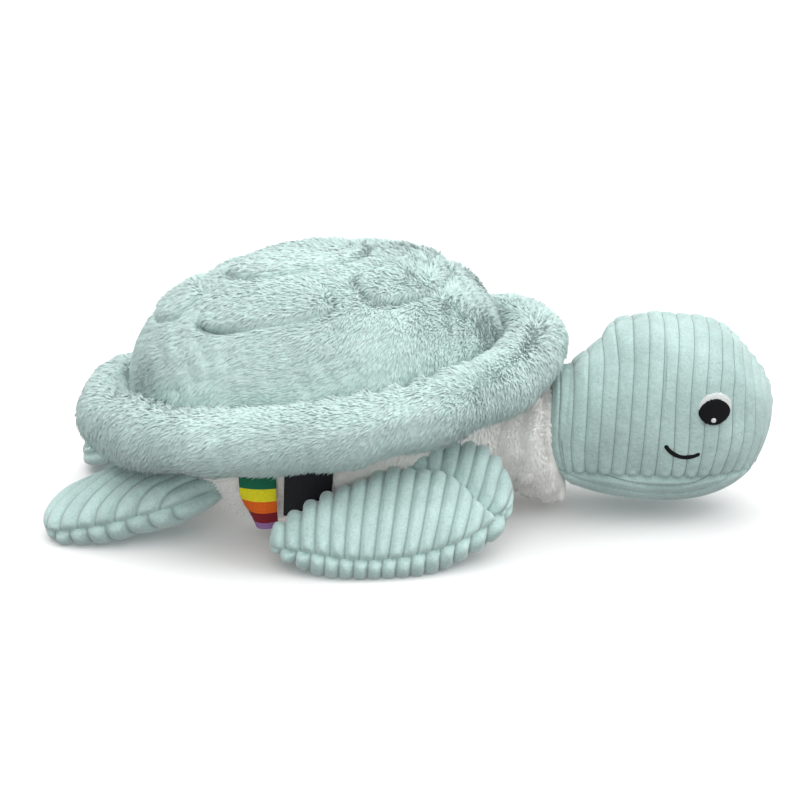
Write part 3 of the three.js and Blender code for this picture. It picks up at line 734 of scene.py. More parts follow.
head_widest = 0.133658  # x of the widest section
head_height = 0.0605
head_half_width = 0.0435
head_half_height = 0.0525
head_back = 0.053
head_front = 0.061
head_front_power = 2.4
head_side_power = 2.3
head_top = 0.1145
back_narrowing, back_flattening, back_droop, back_droop_power = 0.0095, 0.0215, 0.0125, 1.6
chin_seam = 0.029
wale_pitch = 0.0079
wale_lean = 0.05
wale_lean_height = 0.093
head_columns = 210
head_rows = 104
mint_velour = (0.452, 0.596, 0.574)
# The darker colour down the grooves is painted shade
head_groove_shade, head_groove_width = 0.45, 0.00042  # how dark its grooves are, and how wide
nap_shadow = (0.78, 0.83, 0.83)
wale_streak = (0.93, 0.94, 0.94)
head_wale = {"groove": 0.0006, "depth": 0.0007, "crown": 0.0005}
gusset_wale = {"groove": 0.0008, "depth": 0.0014, "crown": 0.0009}
head_slack = 0.0007
scallop_height, scallop_place, scallop_reach = 0.0005, 0.003, 0.002
seam_still = 0.0009
chin_pull, chin_pull_reach = 0.0022, 0.0016
top_pull, top_pull_reach = 0.0012, 0.0014
corner_release, corner_columns = 0.85, 5
hem_depth = 0.003
opening_radius = 0.024
opening_height = 0.048
back_rows = 16
back_swell = 0.0065
crown_drop = 0.0022
crown_drop_from = 0.080
nape_reach, nape_back = 0.112, 0.075
nape_draw = 0.011
crown_swells = ((33, 17, -0.0045), (80, 13, -0.0018), (118, 11, 0.0038))  # angle, width in degrees, size
crown_swell_flat, crown_swell_fade = 0.012, 0.020
gusset_columns = 200
gusset_rows = 96


def velour_material(name, colour, groove_shade, groove_width):
    """Wide-wale velour: fine short nap, brushed patches, and painted shade: a darker line down in each
    groove.
    """
    material, tree, shader, place = cloth_material(name, colour, 0.85, 0.2, 0.45, 0.4)
    nap = noise(tree, place, 900, 4)

    def mixed(factor, one, other, **settings):
        inputs = {"Factor": factor, "A": one, "B": other}
        return add_node(tree, "ShaderNodeMix", inputs, data_type="RGBA", **settings).outputs["Result"]

    def maths(operation, inputs):
        return add_node(tree, "ShaderNodeMath", dict(enumerate(inputs)), operation=operation).outputs[0]

    patches = noise(tree, place, 55, 4)
    cloth = ramp(tree, patches, (0.32, shaded(colour, 0.9)), (0.68, shaded(colour, 1.1)))
    tufts = ramp(tree, nap, (0.4, (0, 0, 0)), (0.75, (1, 1, 1)))
    cloth = mixed(tufts, cloth, (*nap_shadow, 1), blend_type="MULTIPLY")
    wale = add_node(tree, "ShaderNodeAttribute", attribute_name="wale").outputs["Fac"]
    own = add_node(tree, "ShaderNodeTexWhiteNoise", noise_dimensions="1D")
    tree.links.new(maths("FLOOR", [wale]), own.inputs["W"])
    cloth = mixed(own.outputs["Value"], cloth, (*wale_streak, 1), blend_type="MULTIPLY")
    # Painted shade: a darker line down the middle of each groove
    off_crown = maths("ABSOLUTE", [maths("SUBTRACT", [maths("FRACT", [wale]), 0.5])])
    line = ramp(tree, off_crown, (0.5 - groove_width / wale_pitch, (0, 0, 0)), (0.5, (1, 1, 1)))
    cloth = mixed(line, cloth, (*groove_shade, 1))
    tree.links.new(cloth, shader.inputs["Base Color"])
    creased = bump(tree, noise(tree, place, 210, 3), 0.5, 0.0016, bump(tree, nap, 0.4, 0.0007))
    tree.links.new(creased, shader.inputs["Normal"])
    return material


def rear_drop(x, z):
    """How far a point of the head lies in its droop, from 0 at the widest section to 1 at the back."""
    back = np.clip((head_widest - x) / head_back, 0, 1)
    for _ in range(6):
        drop = back ** back_droop_power
        level = z - (head_height - back_droop * drop)
        back = np.clip((head_widest - x + head_back_lean * drop * level) / head_back, 0, 1)
    return back ** back_droop_power


def head_section(x, z):
    """Half width and half height of the head's section at a point, and its height from the middle."""
    drop = rear_drop(x, z)
    ahead = np.clip((x - head_widest) / head_front, 0, 1)
    radial = (1 - ahead ** head_front_power) ** (1 / head_front_power)
    wide = (head_half_width - back_narrowing * drop) * radial
    high = (head_half_height - back_flattening * drop) * radial
    return wide, high, z - (head_height - back_droop * drop)


def head_side(x, z):
    """How far the head's side lies from its middle plane at x and z, or less than 0 off the head."""
    wide, high, level = head_section(x, z)
    left = 1 - (np.abs(level) / np.maximum(high, 1e-9)) ** head_side_power
    return np.where(left > 0, wide * np.maximum(left, 0) ** (1 / head_side_power), -1.0)


def wale_profile(count, groove, depth, crown):
    """Height over a cloth's ground for a place counted in wales: rounded crowns and narrow grooves."""
    off = np.abs(count - np.floor(count) - 0.5)  # 0 on the crown and 0.5 in the groove
    return crown * (1 - (2 * off) ** 2.6) - depth * bell((0.5 - off) * wale_pitch, groove)


def line_lengths(points):
    """How far along a line of points each of them lies."""
    return np.concatenate([[0], np.cumsum(np.linalg.norm(np.diff(points, axis=0), axis=1))])


def resampled(points, count):
    """Points spaced evenly along a line of points, and how far along it each lies."""
    gone = line_lengths(points)
    at = np.linspace(0, gone[-1], count)
    return np.stack([np.interp(at, gone, points[:, i]) for i in range(points.shape[1])], -1), at


def along_line(x, y, share):
    """Point of a line at a share of its length."""
    gone = line_lengths(np.stack([x, y], -1))
    return np.interp(share * gone[-1], gone, x), np.interp(share * gone[-1], gone, y)


def front_reach(level):
    """How far the head reaches ahead of its widest section at a height from its middle."""
    left = np.maximum(1 - (np.abs(level) / head_half_height) ** head_front_power, 0)
    return head_front * left ** (1 / head_front_power)


# Lines that the wales follow: straight behind the widest section, and bowed round the nose. Each
# runs from the chin seam through a place of the head's middle to a place of the top seam.
scan = np.linspace(-head_back, head_front, 2401)
scan_side = np.maximum(head_side(head_widest + scan, np.full_like(scan, head_height)), 0)
scan_length = line_lengths(np.stack([scan, scan_side], -1))
line_length = np.linspace(0, scan_length[-1], head_columns)
line_reach = np.interp(line_length, scan_length, scan)
front_length = scan_length[-1] - np.interp(0, scan, scan_length)
front_share = np.clip((line_length - line_length[-1] + front_length) / front_length, 0, 1)

quarter = np.linspace(0, math.pi / 2, 1200)
leant = (1 - front_share) * wale_lean * head_half_height / wale_lean_height * (front_share > 0)
top_x, top_z = along_line(
    head_front * squared(np.sin(quarter), head_front_power),
    head_half_height * squared(np.cos(quarter), head_front_power), front_share + leant)
chin_scan = np.linspace(0, front_reach(head_height - chin_seam), 1500)
chin_side = np.maximum(head_side(head_widest + chin_scan, np.full_like(chin_scan, chin_seam)), 0)
chin_x, _ = along_line(chin_scan, chin_side, front_share)


def wale_line(i):
    """Line of points up the side of the head at a column of its panel."""
    if front_share[i] > 0:
        z = chin_seam + (head_height + top_z[i] - chin_seam) * np.sin(np.linspace(0, math.pi / 2, 900))
        above = np.clip((z - head_height) / max(top_z[i], 1e-6), 0, 1) ** 2.2
        below = np.clip((head_height - z) / (head_height - chin_seam), 0, 1) ** 2.0
        x = line_reach[i] + (top_x[i] - line_reach[i]) * above + (chin_x[i] - line_reach[i]) * below
        x = np.minimum(x, front_reach(z - head_height))
    else:
        z = np.linspace(chin_seam, head_top, 1600)
        x = line_reach[i] + wale_lean * (z - head_height)
    x = head_widest + np.maximum(x, -head_back)
    y = head_side(x, z)
    if front_share[i] <= 0:
        last = np.nonzero(y > 0)[0][-1] + 1
        x, y, z = x[:last], y[:last], z[:last]
    if i == head_columns - 1:
        y = 0 * y
    line = np.stack([x, np.maximum(y, 0), z], -1)
    return np.concatenate([line, line[-1:] * [1, 0, 1]])


panel = np.zeros((head_columns, head_rows, 3))
from_chin = np.zeros((head_columns, head_rows))
for i in range(head_columns):
    panel[i], from_chin[i] = resampled(wale_line(i), head_rows)
to_top = from_chin[:, -1:] - from_chin
panel_wale = np.broadcast_to(((line_length - line_length[-1]) / wale_pitch)[:, None], panel.shape[:2])


def still(distance, reach):
    """Fades a cloth's own relief out right at its seam, so that both cloths meet there."""
    return 1 - bell(distance, reach)


def snug(columns, rows):
    """Fades the chin seam's pull out at the corner where the back of the head begins."""
    return 1 - corner_release * bell(np.repeat(np.arange(columns), rows) - back_rows, corner_columns)


def with_hem(points, faces, loop, way, depth):
    """Cloth with a turned-in edge along a line of its points, and the point that each new one comes from."""
    added = points[loop] - way[loop] * depth
    inner = len(points) + np.arange(len(loop) - 1)
    hem = np.stack([loop[:-1], loop[1:], inner + 1, inner], -1)
    source = np.concatenate([np.arange(len(points)), loop])
    return np.concatenate([points, added]), np.concatenate([faces, hem]), source


def closed_back(rear):
    """Rows that carry a panel's rear edge round the back of the head to the neck, and how far off each is."""
    bend = (np.arange(back_rows)[::-1] + 1)[:, None] / back_rows * math.pi / 2
    middle = np.stack([rear[:, 0], 0 * rear[:, 1], np.full(len(rear), opening_height)], -1)
    spoke = rear - middle
    size = np.hypot(spoke[:, 1], spoke[:, 2])
    ring = middle + spoke * np.minimum(opening_radius / size, 1)[:, None]
    back = rear + (ring - rear) * (1 - np.cos(bend))[:, :, None]
    back[:, :, 0] -= back_swell * np.sin(bend)
    return back, (back_swell + np.mean(size) - opening_radius) / 2 * bend


def settled(points):
    """Points of the head with its crown pressed down a little and its nape drawn in under the neck."""
    top = head_height + head_half_height
    share = np.clip((points[:, 2] - crown_drop_from) / (top - crown_drop_from), 0, 1)
    down = crown_drop * share ** 2 * (3 - 2 * share)
    low = np.clip((nape_height - points[:, 2]) / (nape_height - nape_bottom), 0, 1)
    behind = np.clip((nape_reach - points[:, 0]) / (nape_reach - nape_back), 0, 1)
    ahead = nape_draw * low ** nape_power * behind ** 1.5
    spoke = points[:, [0, 2]] - [head_widest, head_height]
    around = np.degrees(np.arctan2(spoke[:, 1], spoke[:, 0]))
    swell = sum(size * bell(around - middle, width) for middle, width, size in crown_swells)
    swell *= 1 - np.clip((np.abs(points[:, 1]) - crown_swell_flat) / crown_swell_fade, 0, 1) ** 2
    spoke *= (swell / np.maximum(np.linalg.norm(spoke, axis=1), 0.01))[:, None]
    return points + np.stack([ahead + spoke[:, 0], 0 * ahead, spoke[:, 1] - down], -1)


def with_back(values):
    """Values of a panel's points, with those of its rear edge repeated over the back of the head."""
    return np.concatenate([np.repeat(values[:1], back_rows, 0), values]).reshape(-1)


def head_panel(name, side):
    """One side of the head: side is -1 on the right and 1 on the left."""
    back, gone = closed_back(panel[0])
    columns = head_columns + back_rows
    points = (np.concatenate([back, panel]) * [1, side, 1]).reshape(-1, 3)
    faces = grid_faces(columns, head_rows, False)
    faces = faces if side > 0 else faces[:, ::-1]
    out = normals(points, faces)
    wale = with_back(panel_wale) + 0.03 * unevenness(points, 0.05, 91 + side)
    wale[:back_rows * head_rows] -= np.repeat(gone[:, 0] / wale_pitch, head_rows)
    chin, top = with_back(from_chin), with_back(to_top)
    ends = bell(chin - scallop_place, scallop_reach) + bell(top - scallop_place, scallop_reach)
    relief = wale_profile(wale, **head_wale) - scallop_height * np.cos(2 * math.pi * wale) * ends
    relief = relief + head_slack * unevenness(points, 0.035, 93)
    relief = relief * still(chin, seam_still) * still(top, seam_still)
    pulled = chin_pull * bell(chin, chin_pull_reach) * snug(columns, head_rows)
    relief -= pulled + top_pull * bell(top, top_pull_reach)
    points = settled(points + out * relief[:, None])
    points[:, 1] = np.where(top < 1e-6, 0, np.where(side * points[:, 1] > 0, points[:, 1], 0))
    chin_line = np.arange(columns)[::-side] * head_rows
    points, faces, source = with_hem(points, faces, chin_line, out, hem_depth)
    piece = mesh_piece(name, points, faces, [mint_cloth], {"wale": wale[source]})
    return piece


def gusset_sheet():
    """Grid of the gusset under the chin, from seam to seam, with its part round the back of the head."""
    place = np.linspace(0, 1, gusset_columns)
    at_x, at_y = (np.interp(place, np.linspace(0, 1, head_columns), panel[:, 0, i]) for i in range(2))
    x = np.broadcast_to(at_x[:, None], (gusset_columns, gusset_rows))
    y = at_y[:, None] * np.sin(np.linspace(-math.pi / 2, math.pi / 2, gusset_rows))[None, :]
    z = np.full_like(y, chin_seam)
    for _ in range(8):
        wide, high, level = head_section(x, z)
        left = np.maximum(1 - (np.abs(y) / np.maximum(wide, 1e-9)) ** head_side_power, 0)
        z = np.minimum(z - level - high * left ** (1 / head_side_power), chin_seam)
    sheet = np.stack([x, y, z], -1)
    return np.concatenate([closed_back(sheet[0])[0], sheet])


mint_cloth = velour_material(
    "mint_velour_head", mint_velour, shaded(mint_velour, head_groove_shade), head_groove_width)
head_right = head_panel("head_cloth_right", -1)
head_left = head_panel("head_cloth_left", 1)
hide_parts("head_side_right", "head_stuffing")
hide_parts("head_side_left")

sheet = gusset_sheet()
points = sheet.reshape(-1, 3)
faces = grid_faces(len(sheet), gusset_rows, False)
out = normals(points, faces)
if out[:, 2].mean() > 0:
    faces, out = faces[:, ::-1], -out
steps = np.linalg.norm(np.diff(sheet, axis=1), axis=2)
gone = np.concatenate([np.zeros((len(sheet), 1)), np.cumsum(steps, axis=1)], 1)
seam_away = np.minimum(gone, gone[:, -1:] - gone).reshape(-1)
wale = ((gone - gone[:, -1:] / 2) / wale_pitch).reshape(-1) + 0.04 * unevenness(points, 0.05, 95)
relief = wale_profile(wale, **gusset_wale) * still(seam_away, seam_still)
relief -= chin_pull * bell(seam_away, chin_pull_reach) * snug(len(sheet), gusset_rows)
points = settled(points + out * relief[:, None])
gusset = mesh_piece("head_cloth_gusset", points, faces, [mint_cloth], {"wale": wale})
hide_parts("head_chin_gusset")
for piece in (head_right, head_left, gusset):
    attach(piece, "head")


# Face
# Eyes and smile embroidered in satin stitch on the side panels: a black pupil with a white
# crescent behind it and a small glint, and a curved black line for the mouth.

pupil_centre = (0.1602, 0.0682)
pupil_half = (0.0084, 0.0075)
pupil_corner = 1.75
white_offset = (0.0005, 0.0022)
white_half = (0.0088, 0.0080)
glint_offset = (-0.0007, -0.0042)
glint_half = (0.0013, 0.0013)
patch_rows = 27
patch_lifts = {"white": (0.0004, 0.0009), "pupil": (0.0010, 0.0011), "glint": (0.0021, 0.0006)}  # edge, dome
patch_edge_drop = 0.0012
stitch_unevenness = 0.025
smile_centre = (0.1464, 0.0556)
smile_radius = 0.0125
smile_width = 0.0024
smile_turns = (math.radians(205), math.radians(305))
smile_end = 0.0008
smile_lift, smile_dome = 0.0004, 0.0009
thread_pitch = 0.00045
thread_height, smile_thread_height = 0.00013, 0.00012
thread_sink = 0.0002


def thread_material(name, colour, roughness):
    """Embroidery thread in close rows."""
    material, tree, shader, place = cloth_material(name, colour, roughness, 0.12)
    fibre = noise(tree, place, 2200, 2)
    bright = tuple(min(c * 1.3 + 0.004, 1) for c in colour)
    tree.links.new(ramp(tree, fibre, (0, shaded(colour, 0.75)), (1, bright)), shader.inputs["Base Color"])
    tree.links.new(bump(tree, fibre, 0.2, 0.0002), shader.inputs["Normal"])
    return material


def embroidery(name, xs, zs, rise, side, material):
    """Patch of satin stitch over a grid of x and z, raised over the side of the head."""
    points = np.stack([xs, side * head_side(xs, zs), zs], -1).reshape(-1, 3)
    faces = grid_faces(*xs.shape, False)
    if side * normals(points, faces)[:, 1].mean() < 0:
        faces = faces[:, ::-1]
    return mesh_piece(name, pushed(points, faces, rise.reshape(-1) - thread_sink), faces, [material])


def oval(name, middle, half, lifts, side, material, seed, corner=2.0):
    """Oval patch of upright stitches, with the thread ends a little uneven round its edge."""
    columns = int(2 * half[0] / thread_pitch) * 4 + 1
    u = np.sin(np.linspace(-math.pi / 2, math.pi / 2, columns) * 0.985)
    v = np.linspace(-1, 1, patch_rows)
    phase = (u + 1) * half[0] / thread_pitch
    thread = np.floor(phase).astype(int)
    ragged = 1 + stitch_unevenness * np.random.default_rng(seed).normal(size=thread.max() + 1)[thread]
    x = middle[0] + half[0] * u[:, None] * np.ones_like(v)[None, :]
    arch = (1 - np.abs(u) ** corner)[:, None] ** (1 / corner)
    z = middle[1] + half[1] * arch * ragged[:, None] * v[None, :]
    round_off = (1 - (u ** 2)[:, None]) * (1 - (v ** 2)[None, :] ** 3)
    rise = lifts[0] + lifts[1] * np.sqrt(np.maximum(round_off, 0)) - patch_edge_drop * (round_off <= 1e-9)
    rise = rise + thread_height * np.abs(np.sin(math.pi * phase))[:, None]
    return embroidery(name, x, z, rise, side, material)


def moved(place, offset):
    """Place of a patch that lies off another."""
    return place[0] + offset[0], place[1] + offset[1]


def smile(name, side, material):
    """Curved line of short stitches, rounded at both ends."""
    turn = np.linspace(*smile_turns, 121)[:, None]
    over = np.linspace(-1, 1, 9)[None, :]
    to_end = np.minimum(turn - smile_turns[0], smile_turns[1] - turn) * smile_radius
    ends = np.sqrt(np.clip(to_end / smile_end, 0, 1))
    radius = smile_radius + smile_width / 2 * over * ends
    x, z = smile_centre[0] + radius * np.cos(turn), smile_centre[1] + radius * np.sin(turn)
    rise = smile_lift + smile_dome * np.sqrt(np.maximum(1 - over ** 2, 0)) * ends
    phase = (turn - smile_turns[0]) * smile_radius / thread_pitch
    rise = rise + smile_thread_height * np.abs(np.sin(math.pi * phase))
    return embroidery(name, x, z, rise, side, material)


black_thread = thread_material("black_thread", (0.003, 0.003, 0.004), 0.8)
white_thread = thread_material("white_thread", (0.60, 0.63, 0.62), 0.5)
for label, side in (("right", -1), ("left", 1)):
    white = oval(
        "eye_crescent_" + label, moved(pupil_centre, white_offset), white_half, patch_lifts["white"], side,
        white_thread, 3)
    pupil = oval(
        "eye_black_" + label, pupil_centre, pupil_half, patch_lifts["pupil"], side,
        black_thread, 5, pupil_corner)
    glint = oval(
        "eye_spark_" + label, moved(pupil_centre, glint_offset), glint_half, patch_lifts["glint"], side,
        white_thread, 6)
    mouth = smile("mouth_" + label, side, black_thread)
    for piece, node in (
        (white, "eye_white_"), (pupil, "eye_pupil_"), (glint, "eye_glint_"), (mouth, "smile_stitch_"),
    ):
        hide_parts(node + label)
        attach(piece, "head")


# Front flippers
# Swept-back paddles of the same wide-wale velour, each of a top and an underside panel joined by
# a puckered seam, loosely stuffed. The wales run across the paddle and end in round scallops.

flipper_power = 2.3
snap_reach = 0.009  # a flipper's shape is cut off where it lies this far off its solids
seam_lift_reach = 0.025
section_points = 240
tip_reach = 0.006
flipper_groove = 0.0011
pucker_height, pucker_place, pucker_reach = 0.0011, 0.0045, 0.0035
flipper_still = 0.0011
flipper_pull, flipper_pull_reach = 0.0024, 0.0017
flipper_slack = 0.0009
flipper_velour_share = 1.06
# The darker colour down the flipper's grooves is painted shade
flipper_groove_shade, flipper_groove_width = 0.6, 0.0009
front_flipper = {
    "name": "front_flipper", "centre": (0.004658, -0.083, 0.0245), "turns": (36, -5, 14),
    "half_thickness": 0.017, "reach": 0.078, "half_width": 0.040, "seam_lift": 0.0095,
    "rows": (58, 44), "columns": 210, "crown": 0.0011, "depth": 0.0013, "seed": 101,
    "outline": [
        (-1, -0.1), (-0.82, -0.52), (-0.46, -0.82), (0, -0.86), (0.37, -0.66), (0.61, -0.27), (0.68, 0.2),
        (0.56, 0.82), (0.33, 1), (0.08, 0.86), (-0.28, 0.57), (-0.69, 0.33),
    ],
}
front_wale_pitch = 0.0083
# Where the paddle folds over the arm that joins it to the body, from the upper edge to the outer one
fold_line = np.array([
    (-0.006, 0.0265), (0.001, 0.0225), (0.0105, 0.018), (0.0165, 0.016), (0.022, 0.0105), (0.028, 0.0025),
    (0.0325, -0.006), (0.0375, -0.0125), (0.0465, -0.0165),
])
fold_depth = 0.0062
fold_reach = (0.0024, 0.0048)  # on the paddle's side and on the arm's
wale_lean_middle = 0.37
wale_lean_growth = 2.4


def closed_curve(corners, steps):
    """Points along a closed centripetal Catmull-Rom curve."""
    corners = np.asarray(corners, float)
    count = len(corners)
    t = np.linspace(0, 1, steps, endpoint=False)[:, None]
    made = []
    for i in range(count):
        p = [corners[(i + k - 1) % count] for k in range(4)]
        d = [math.sqrt(np.linalg.norm(p[k + 1] - p[k])) for k in range(3)]
        start = ((p[1] - p[0]) / d[0] - (p[2] - p[0]) / (d[0] + d[1]) + (p[2] - p[1]) / d[1]) * d[1]
        end = ((p[2] - p[1]) / d[1] - (p[3] - p[1]) / (d[1] + d[2]) + (p[3] - p[2]) / d[2]) * d[1]
        made.append(
            p[1] + start * t + (3 * (p[2] - p[1]) - 2 * start - end) * t ** 2
            + (2 * (p[1] - p[2]) + start + end) * t ** 3)
    return np.concatenate(made)


def flipper_outline(spec, steps):
    """Outline of a flipper's plan."""
    return closed_curve(np.array(spec["outline"]) * [spec["reach"], spec["half_width"]], steps)


def turned(turns):
    """Rotation by roll, pitch and yaw in degrees, as a matrix."""
    (roll_cos, roll_sin), (pitch_cos, pitch_sin), (yaw_cos, yaw_sin) = (
        (math.cos(math.radians(turn)), math.sin(math.radians(turn))) for turn in turns)
    about_x = np.array([[1, 0, 0], [0, roll_cos, -roll_sin], [0, roll_sin, roll_cos]])
    about_y = np.array([[pitch_cos, 0, pitch_sin], [0, 1, 0], [-pitch_sin, 0, pitch_cos]])
    about_z = np.array([[yaw_cos, -yaw_sin, 0], [yaw_sin, yaw_cos, 0], [0, 0, 1]])
    return about_z @ about_y @ about_x


def flipper_height(spec, x, y):
    """Half thickness of a flipper at a place of its plan."""
    outline = flipper_outline(spec, 60)
    ways = np.mod(np.arctan2(outline[:, 1], outline[:, 0]), 2 * math.pi)
    order = np.argsort(ways)
    reach = np.hypot(outline[:, 0], outline[:, 1])[order]
    edge = np.interp(np.mod(np.arctan2(y, x), 2 * math.pi), ways[order], reach, period=2 * math.pi)
    share = np.clip(np.hypot(x, y) / edge, 0, 1)
    return spec["half_thickness"] * (1 - share ** flipper_power) ** (1 / flipper_power)


def chords(spec):
    """Places along a flipper and the ends of its plan across each, closer together near its two tips."""
    outline = flipper_outline(spec, 200)
    low, high = outline[:, 0].min(), outline[:, 0].max()
    s = np.linspace(0, 1, spec["columns"])
    slowed = s - 0.06 * np.sin(2 * math.pi * s)
    x = low + (high - low) * (0.5 * slowed + 0.5 * (1 - np.cos(math.pi * s)) / 2)
    left, right = np.argmin(outline[:, 0]), np.argmax(outline[:, 0])
    ring = np.roll(outline, -left, 0)
    turn = (right - left) % len(outline)
    one, two = ring[:turn + 1], np.concatenate([ring[turn:], ring[:1]])[::-1]
    if one[:, 1].mean() > two[:, 1].mean():
        one, two = two, one
    return x, np.interp(x, one[:, 0], one[:, 1]), np.interp(x, two[:, 0], two[:, 1])


def section_loop(spec, x, near, far):
    """Line round a flipper's section, from its inner edge over the top to its outer edge and back under."""
    y = far + (near - far) * (1 - np.cos(np.linspace(0, math.pi, section_points))) / 2
    high = flipper_height(spec, np.full_like(y, x), y)
    high[[0, -1]] = 0
    return np.concatenate([np.stack([y, high], -1), np.stack([y[::-1], -high[::-1]], -1)[1:]])


def flipper_grids(spec):
    """Places along a flipper, the grids of its two panels in its own frame, and the way to the seam."""
    x, near, far = chords(spec)
    ease = np.clip(np.minimum(x - x[0], x[-1] - x) / seam_lift_reach, 0, 1)
    lift = spec["seam_lift"] * np.sin(ease * math.pi / 2)
    grids = [np.zeros((len(x), n, 3)) for n in spec["rows"]]
    away = [np.zeros((len(x), n)) for n in spec["rows"]]
    for i in range(len(x)):
        loop = section_loop(spec, x[i], near[i], far[i])
        gone = line_lengths(loop)
        edge = gone[section_points - 1]
        seam = max(edge - lift[i], edge / 2)
        for part, (low, high) in enumerate(((0, seam), (seam, gone[-1]))):
            at = np.linspace(low, high, spec["rows"][part])
            section = [np.interp(at, gone, loop[:, k]) for k in range(2)]
            grids[part][i] = np.stack([np.full_like(at, x[i]), *section], -1)
            away[part][i] = np.minimum(at - low, high - at)
    return x, grids, away


def solid_tree(names):
    """Search tree over the surfaces of the model's solids of those names."""
    surface, corners = [], []
    for solid in (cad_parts[name] for name in names):
        start = len(surface)
        surface += [solid.matrix_world @ v.co for v in solid.data.vertices]
        corners += [[start + i for i in polygon.vertices] for polygon in solid.data.polygons]
    return BVHTree.FromPolygons(surface, corners)


def trimmed(tree, spots):
    """Spots laid on a flipper's root where they lie past it, and which of them do."""
    laid, past = spots.copy(), np.zeros(len(spots), dtype=bool)
    for i, spot in enumerate(spots):
        nearest, _, _, distance = tree.find_nearest(Vector(spot))
        if distance > snap_reach:
            laid[i], past[i] = nearest, True
    return laid, past


def shared_seam(tree, spots):
    """A seam's line laid on the root, the same for both its panels, and how far it counts at each place."""
    line, past = trimmed(tree, spots)
    count = past.astype(float)
    for _ in range(4):
        count[1:] = np.maximum(count[1:], 0.7 * count[:-1])
        count[:-1] = np.maximum(count[:-1], 0.7 * count[1:])
    for _ in range(20):
        line[1:-1] += 0.5 * count[1:-1, None] * (0.5 * (line[:-2] + line[2:]) - line[1:-1])
    return line, count[:, None]


def eased(points, faces, chosen, held):
    """Points with the chosen ones and a few rows round them drawn together, while the held ones stay."""
    pairs = np.concatenate([faces[:, [i, (i + 1) % 4]] for i in range(4)])
    pairs = pairs[pairs[:, 0] != pairs[:, 1]]
    near = chosen.astype(float)
    for _ in range(3):
        np.maximum.at(near, pairs[:, 0], 0.7 * near[pairs[:, 1]])
        np.maximum.at(near, pairs[:, 1], 0.7 * near[pairs[:, 0]])
    near[held] = 0
    for _ in range(12):
        total, count = np.zeros_like(points), np.zeros(len(points))
        for one, other in ((0, 1), (1, 0)):
            np.add.at(total, pairs[:, one], points[pairs[:, other]])
            np.add.at(count, pairs[:, one], 1)
        points = points + near[:, None] * (total / np.maximum(count, 1)[:, None] - points)
    return points


def flipper_relief(spec, local, wale, flat, fold, tip):
    """Height of a flipper's wales, puckers, fold and slackness over its plain shape."""
    puffed = pucker_height * bell(flat - pucker_place, pucker_reach)
    puffed *= 0.35 + 0.65 * np.cos(2 * math.pi * (wale - 0.5))
    wales = wale_profile(wale, flipper_groove, spec["depth"], spec["crown"]) * tip
    relief = (wales + puffed * tip - fold) * still(flat, flipper_still)
    relief -= flipper_pull * bell(flat, flipper_pull_reach) * tip
    return relief + flipper_slack * unevenness(local, 0.03, spec["seed"]) * tip


def flipper(spec, side, wale_of):
    """Top and underside panels of a flipper: side is 1 on the right and -1 on the left."""
    node = spec["name"] + ("_right" if side > 0 else "_left")
    tree = solid_tree([node + end for end in ("_top", "_underside", "_stuffing")])
    rotation = turned(spec["turns"])

    def placed(local):
        return (local @ rotation.T + np.array(spec["centre"])) * [1, side, 1]

    x, grids, away = flipper_grids(spec)
    for part, (grid, distance) in enumerate(zip(grids, away)):
        columns, rows = distance.shape
        local = grid.reshape(-1, 3)
        wale, fold = wale_of(local, part)
        edges = (0, rows - 1)
        seams = [shared_seam(tree, placed(grid[:, row])) for row in edges]
        local, faces, place, first = welded(local, grid_faces(columns, rows, False))
        seam_places = [place[np.arange(columns) * rows + row] for row in edges]
        wale, flat, fold = wale[first], distance.reshape(-1)[first], fold[first]
        if np.mean(normals(local, faces)[:, 2]) * (1 - 2 * part) < 0:
            faces = faces[:, ::-1]
        tip = np.clip(np.minimum(local[:, 0] - x[0], x[-1] - local[:, 0]) / tip_reach, 0, 1)
        local = pushed(local, faces, flipper_relief(spec, local, wale, flat, fold, tip))
        world = placed(local)
        world[:, 2] = np.maximum(world[:, 2], floor_gap)
        world, cut = trimmed(tree, world)
        for (line, count), places in zip(seams, seam_places):
            world[places] += (line - world[places]) * count
        world = eased(world, faces, cut, np.concatenate(seam_places))
        if side < 0:
            faces = faces[:, ::-1]
        name = node + ("_cloth_top", "_cloth_underside")[part]
        piece = mesh_piece(name, world, faces, [flipper_cloth], {"wale": wale})
        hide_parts(*((node + "_top", node + "_stuffing") if part == 0 else (node + "_underside",)))
        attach(piece, node)


def front_wales(local, part):
    """Wales across the front paddle, leaning more towards its root, and how deep each place is folded in."""
    x, y = local[:, 0], local[:, 1]
    across = (x - wale_lean_middle * y) / (1 + wale_lean_growth * y)
    line = resampled(fold_line, 160)[0]
    nearest = np.argmin(np.linalg.norm(local[:, None, :2] - line[None], axis=2), axis=1)
    way = np.gradient(line, axis=0)[nearest]
    away = local[:, :2] - line[nearest]
    on_arm = way[:, 0] * away[:, 1] - way[:, 1] * away[:, 0] > 0
    reach = np.where(on_arm, fold_reach[1], fold_reach[0])
    fold = fold_depth * np.exp(-((np.linalg.norm(away, axis=1) / reach) ** 1.6)) * (part == 0)
    scallop = 0.35 * (part == 1) + 0.5 * on_arm * (part == 0)
    return across / front_wale_pitch + 0.35 + scallop + 0.05 * unevenness(local, 0.05, 17), fold


flipper_cloth = velour_material(
    "mint_velour_flippers", shaded(mint_velour, flipper_velour_share),
    shaded(mint_velour, flipper_groove_shade), flipper_groove_width)
for side in (1, -1):
    flipper(front_flipper, side, front_wales)


# Rear flippers
# Shorter rounded paddles behind the shell, made as the front ones are, with curved wales that run
# lengthwise and gather at the seam round the tip.

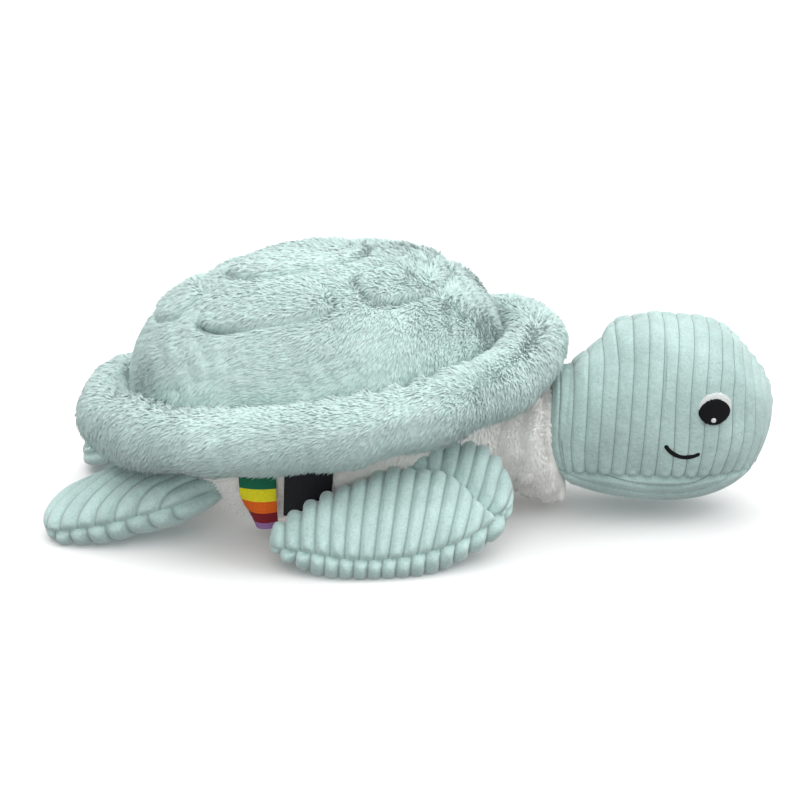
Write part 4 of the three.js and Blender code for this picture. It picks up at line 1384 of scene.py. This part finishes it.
rear_flipper = {
    "name": "rear_flipper", "centre": (-0.146342, -0.055, 0.0182), "turns": (10, -13, 8),
    "half_thickness": 0.013, "reach": 0.050, "half_width": 0.031, "seam_lift": 0.0035,
    "rows": (70, 56), "columns": 150, "crown": 0.0009, "depth": 0.0012, "seed": 103,
    "outline": [
        (-1, 0.05), (-0.9, -0.42), (-0.52, -0.72), (0.08, -0.78), (0.64, -0.66), (1, -0.26), (1, 0.32),
        (0.64, 0.81), (0.08, 1), (-0.48, 0.96), (-0.88, 0.56),
    ],
}
rear_wale_pitch = 0.0096
rear_bow_middle = (0.050, -0.040)
rear_bow_shape = (0.9, 1.15)


def rear_wales(local, part):
    """Wales round the rear paddle, in bows that run from its root to its outer edge, and no fold."""
    x, y = local[:, 0], local[:, 1]
    bow = np.hypot((x - rear_bow_middle[0]) * rear_bow_shape[0], (y - rear_bow_middle[1]) * rear_bow_shape[1])
    return bow / rear_wale_pitch + 0.5 * part + 0.05 * unevenness(local, 0.05, 19), 0 * x


for side in (1, -1):
    flipper(rear_flipper, side, rear_wales)


# Studio
# A pale floor with large soft lamps all round, and the camera where the photograph was taken.

camera_place = (0.04271, -1.14647, 0.41085)
camera_target = (-0.007342, 0, 0.060)
camera_lens = 98.28
camera_sensor = 36
floor_half = 30.0
floor_colour, floor_roughness = (0.88, 0.88, 0.88), 0.7
sky_strength = 0.39
lamps = (  # name, the way the light comes from, width of its disc in the sky in degrees, strength
    ("overhead", (0.0, 0.0, 1.0), 90, 2.45),
    ("front", (0.0, -1.0, 0.45), 50, 1.15),
    ("side", (1.0, -0.1, 0.6), 50, 1.1),
    ("behind", (-0.7, 1.0, 0.5), 60, 0.7),
)

corners = np.array([[-1, -1, 0], [1, -1, 0], [1, 1, 0], [-1, 1, 0]]) * floor_half
floor_paint = bpy.data.materials.new("floor_paint")
floor_paint.use_nodes = True
floor_shader = floor_paint.node_tree.nodes["Principled BSDF"]
floor_shader.inputs["Base Color"].default_value = (*floor_colour, 1)
floor_shader.inputs["Roughness"].default_value = floor_roughness
floor = mesh_piece("floor", corners, np.array([[0, 1, 2, 3]]), [floor_paint])
floor.visible_diffuse = False  # the lamps and the sky alone light the cloths

for name, way, width, strength in lamps:
    data = bpy.data.lights.new(name, "SUN")
    data.angle = math.radians(width)
    data.energy = strength
    lamp = bpy.data.objects.new(name, data)
    lamp.rotation_euler = (-Vector(way)).to_track_quat("-Z", "Y").to_euler()
    bpy.context.scene.collection.objects.link(lamp)

world = bpy.data.worlds.new("studio")
world.use_nodes = True
world.node_tree.nodes["Background"].inputs["Color"].default_value = (1, 1, 1, 1)
world.node_tree.nodes["Background"].inputs["Strength"].default_value = sky_strength
bpy.context.scene.world = world
bpy.context.scene.view_settings.view_transform = "Standard"

lens = bpy.data.cameras.new("camera")
lens.lens = camera_lens
lens.sensor_width = camera_sensor
camera = bpy.data.objects.new("camera", lens)
camera.location = camera_place
camera.rotation_euler = (Vector(camera_target) - Vector(camera_place)).to_track_quat("-Z", "Y").to_euler()
bpy.context.scene.collection.objects.link(camera)
bpy.context.scene.camera = camera
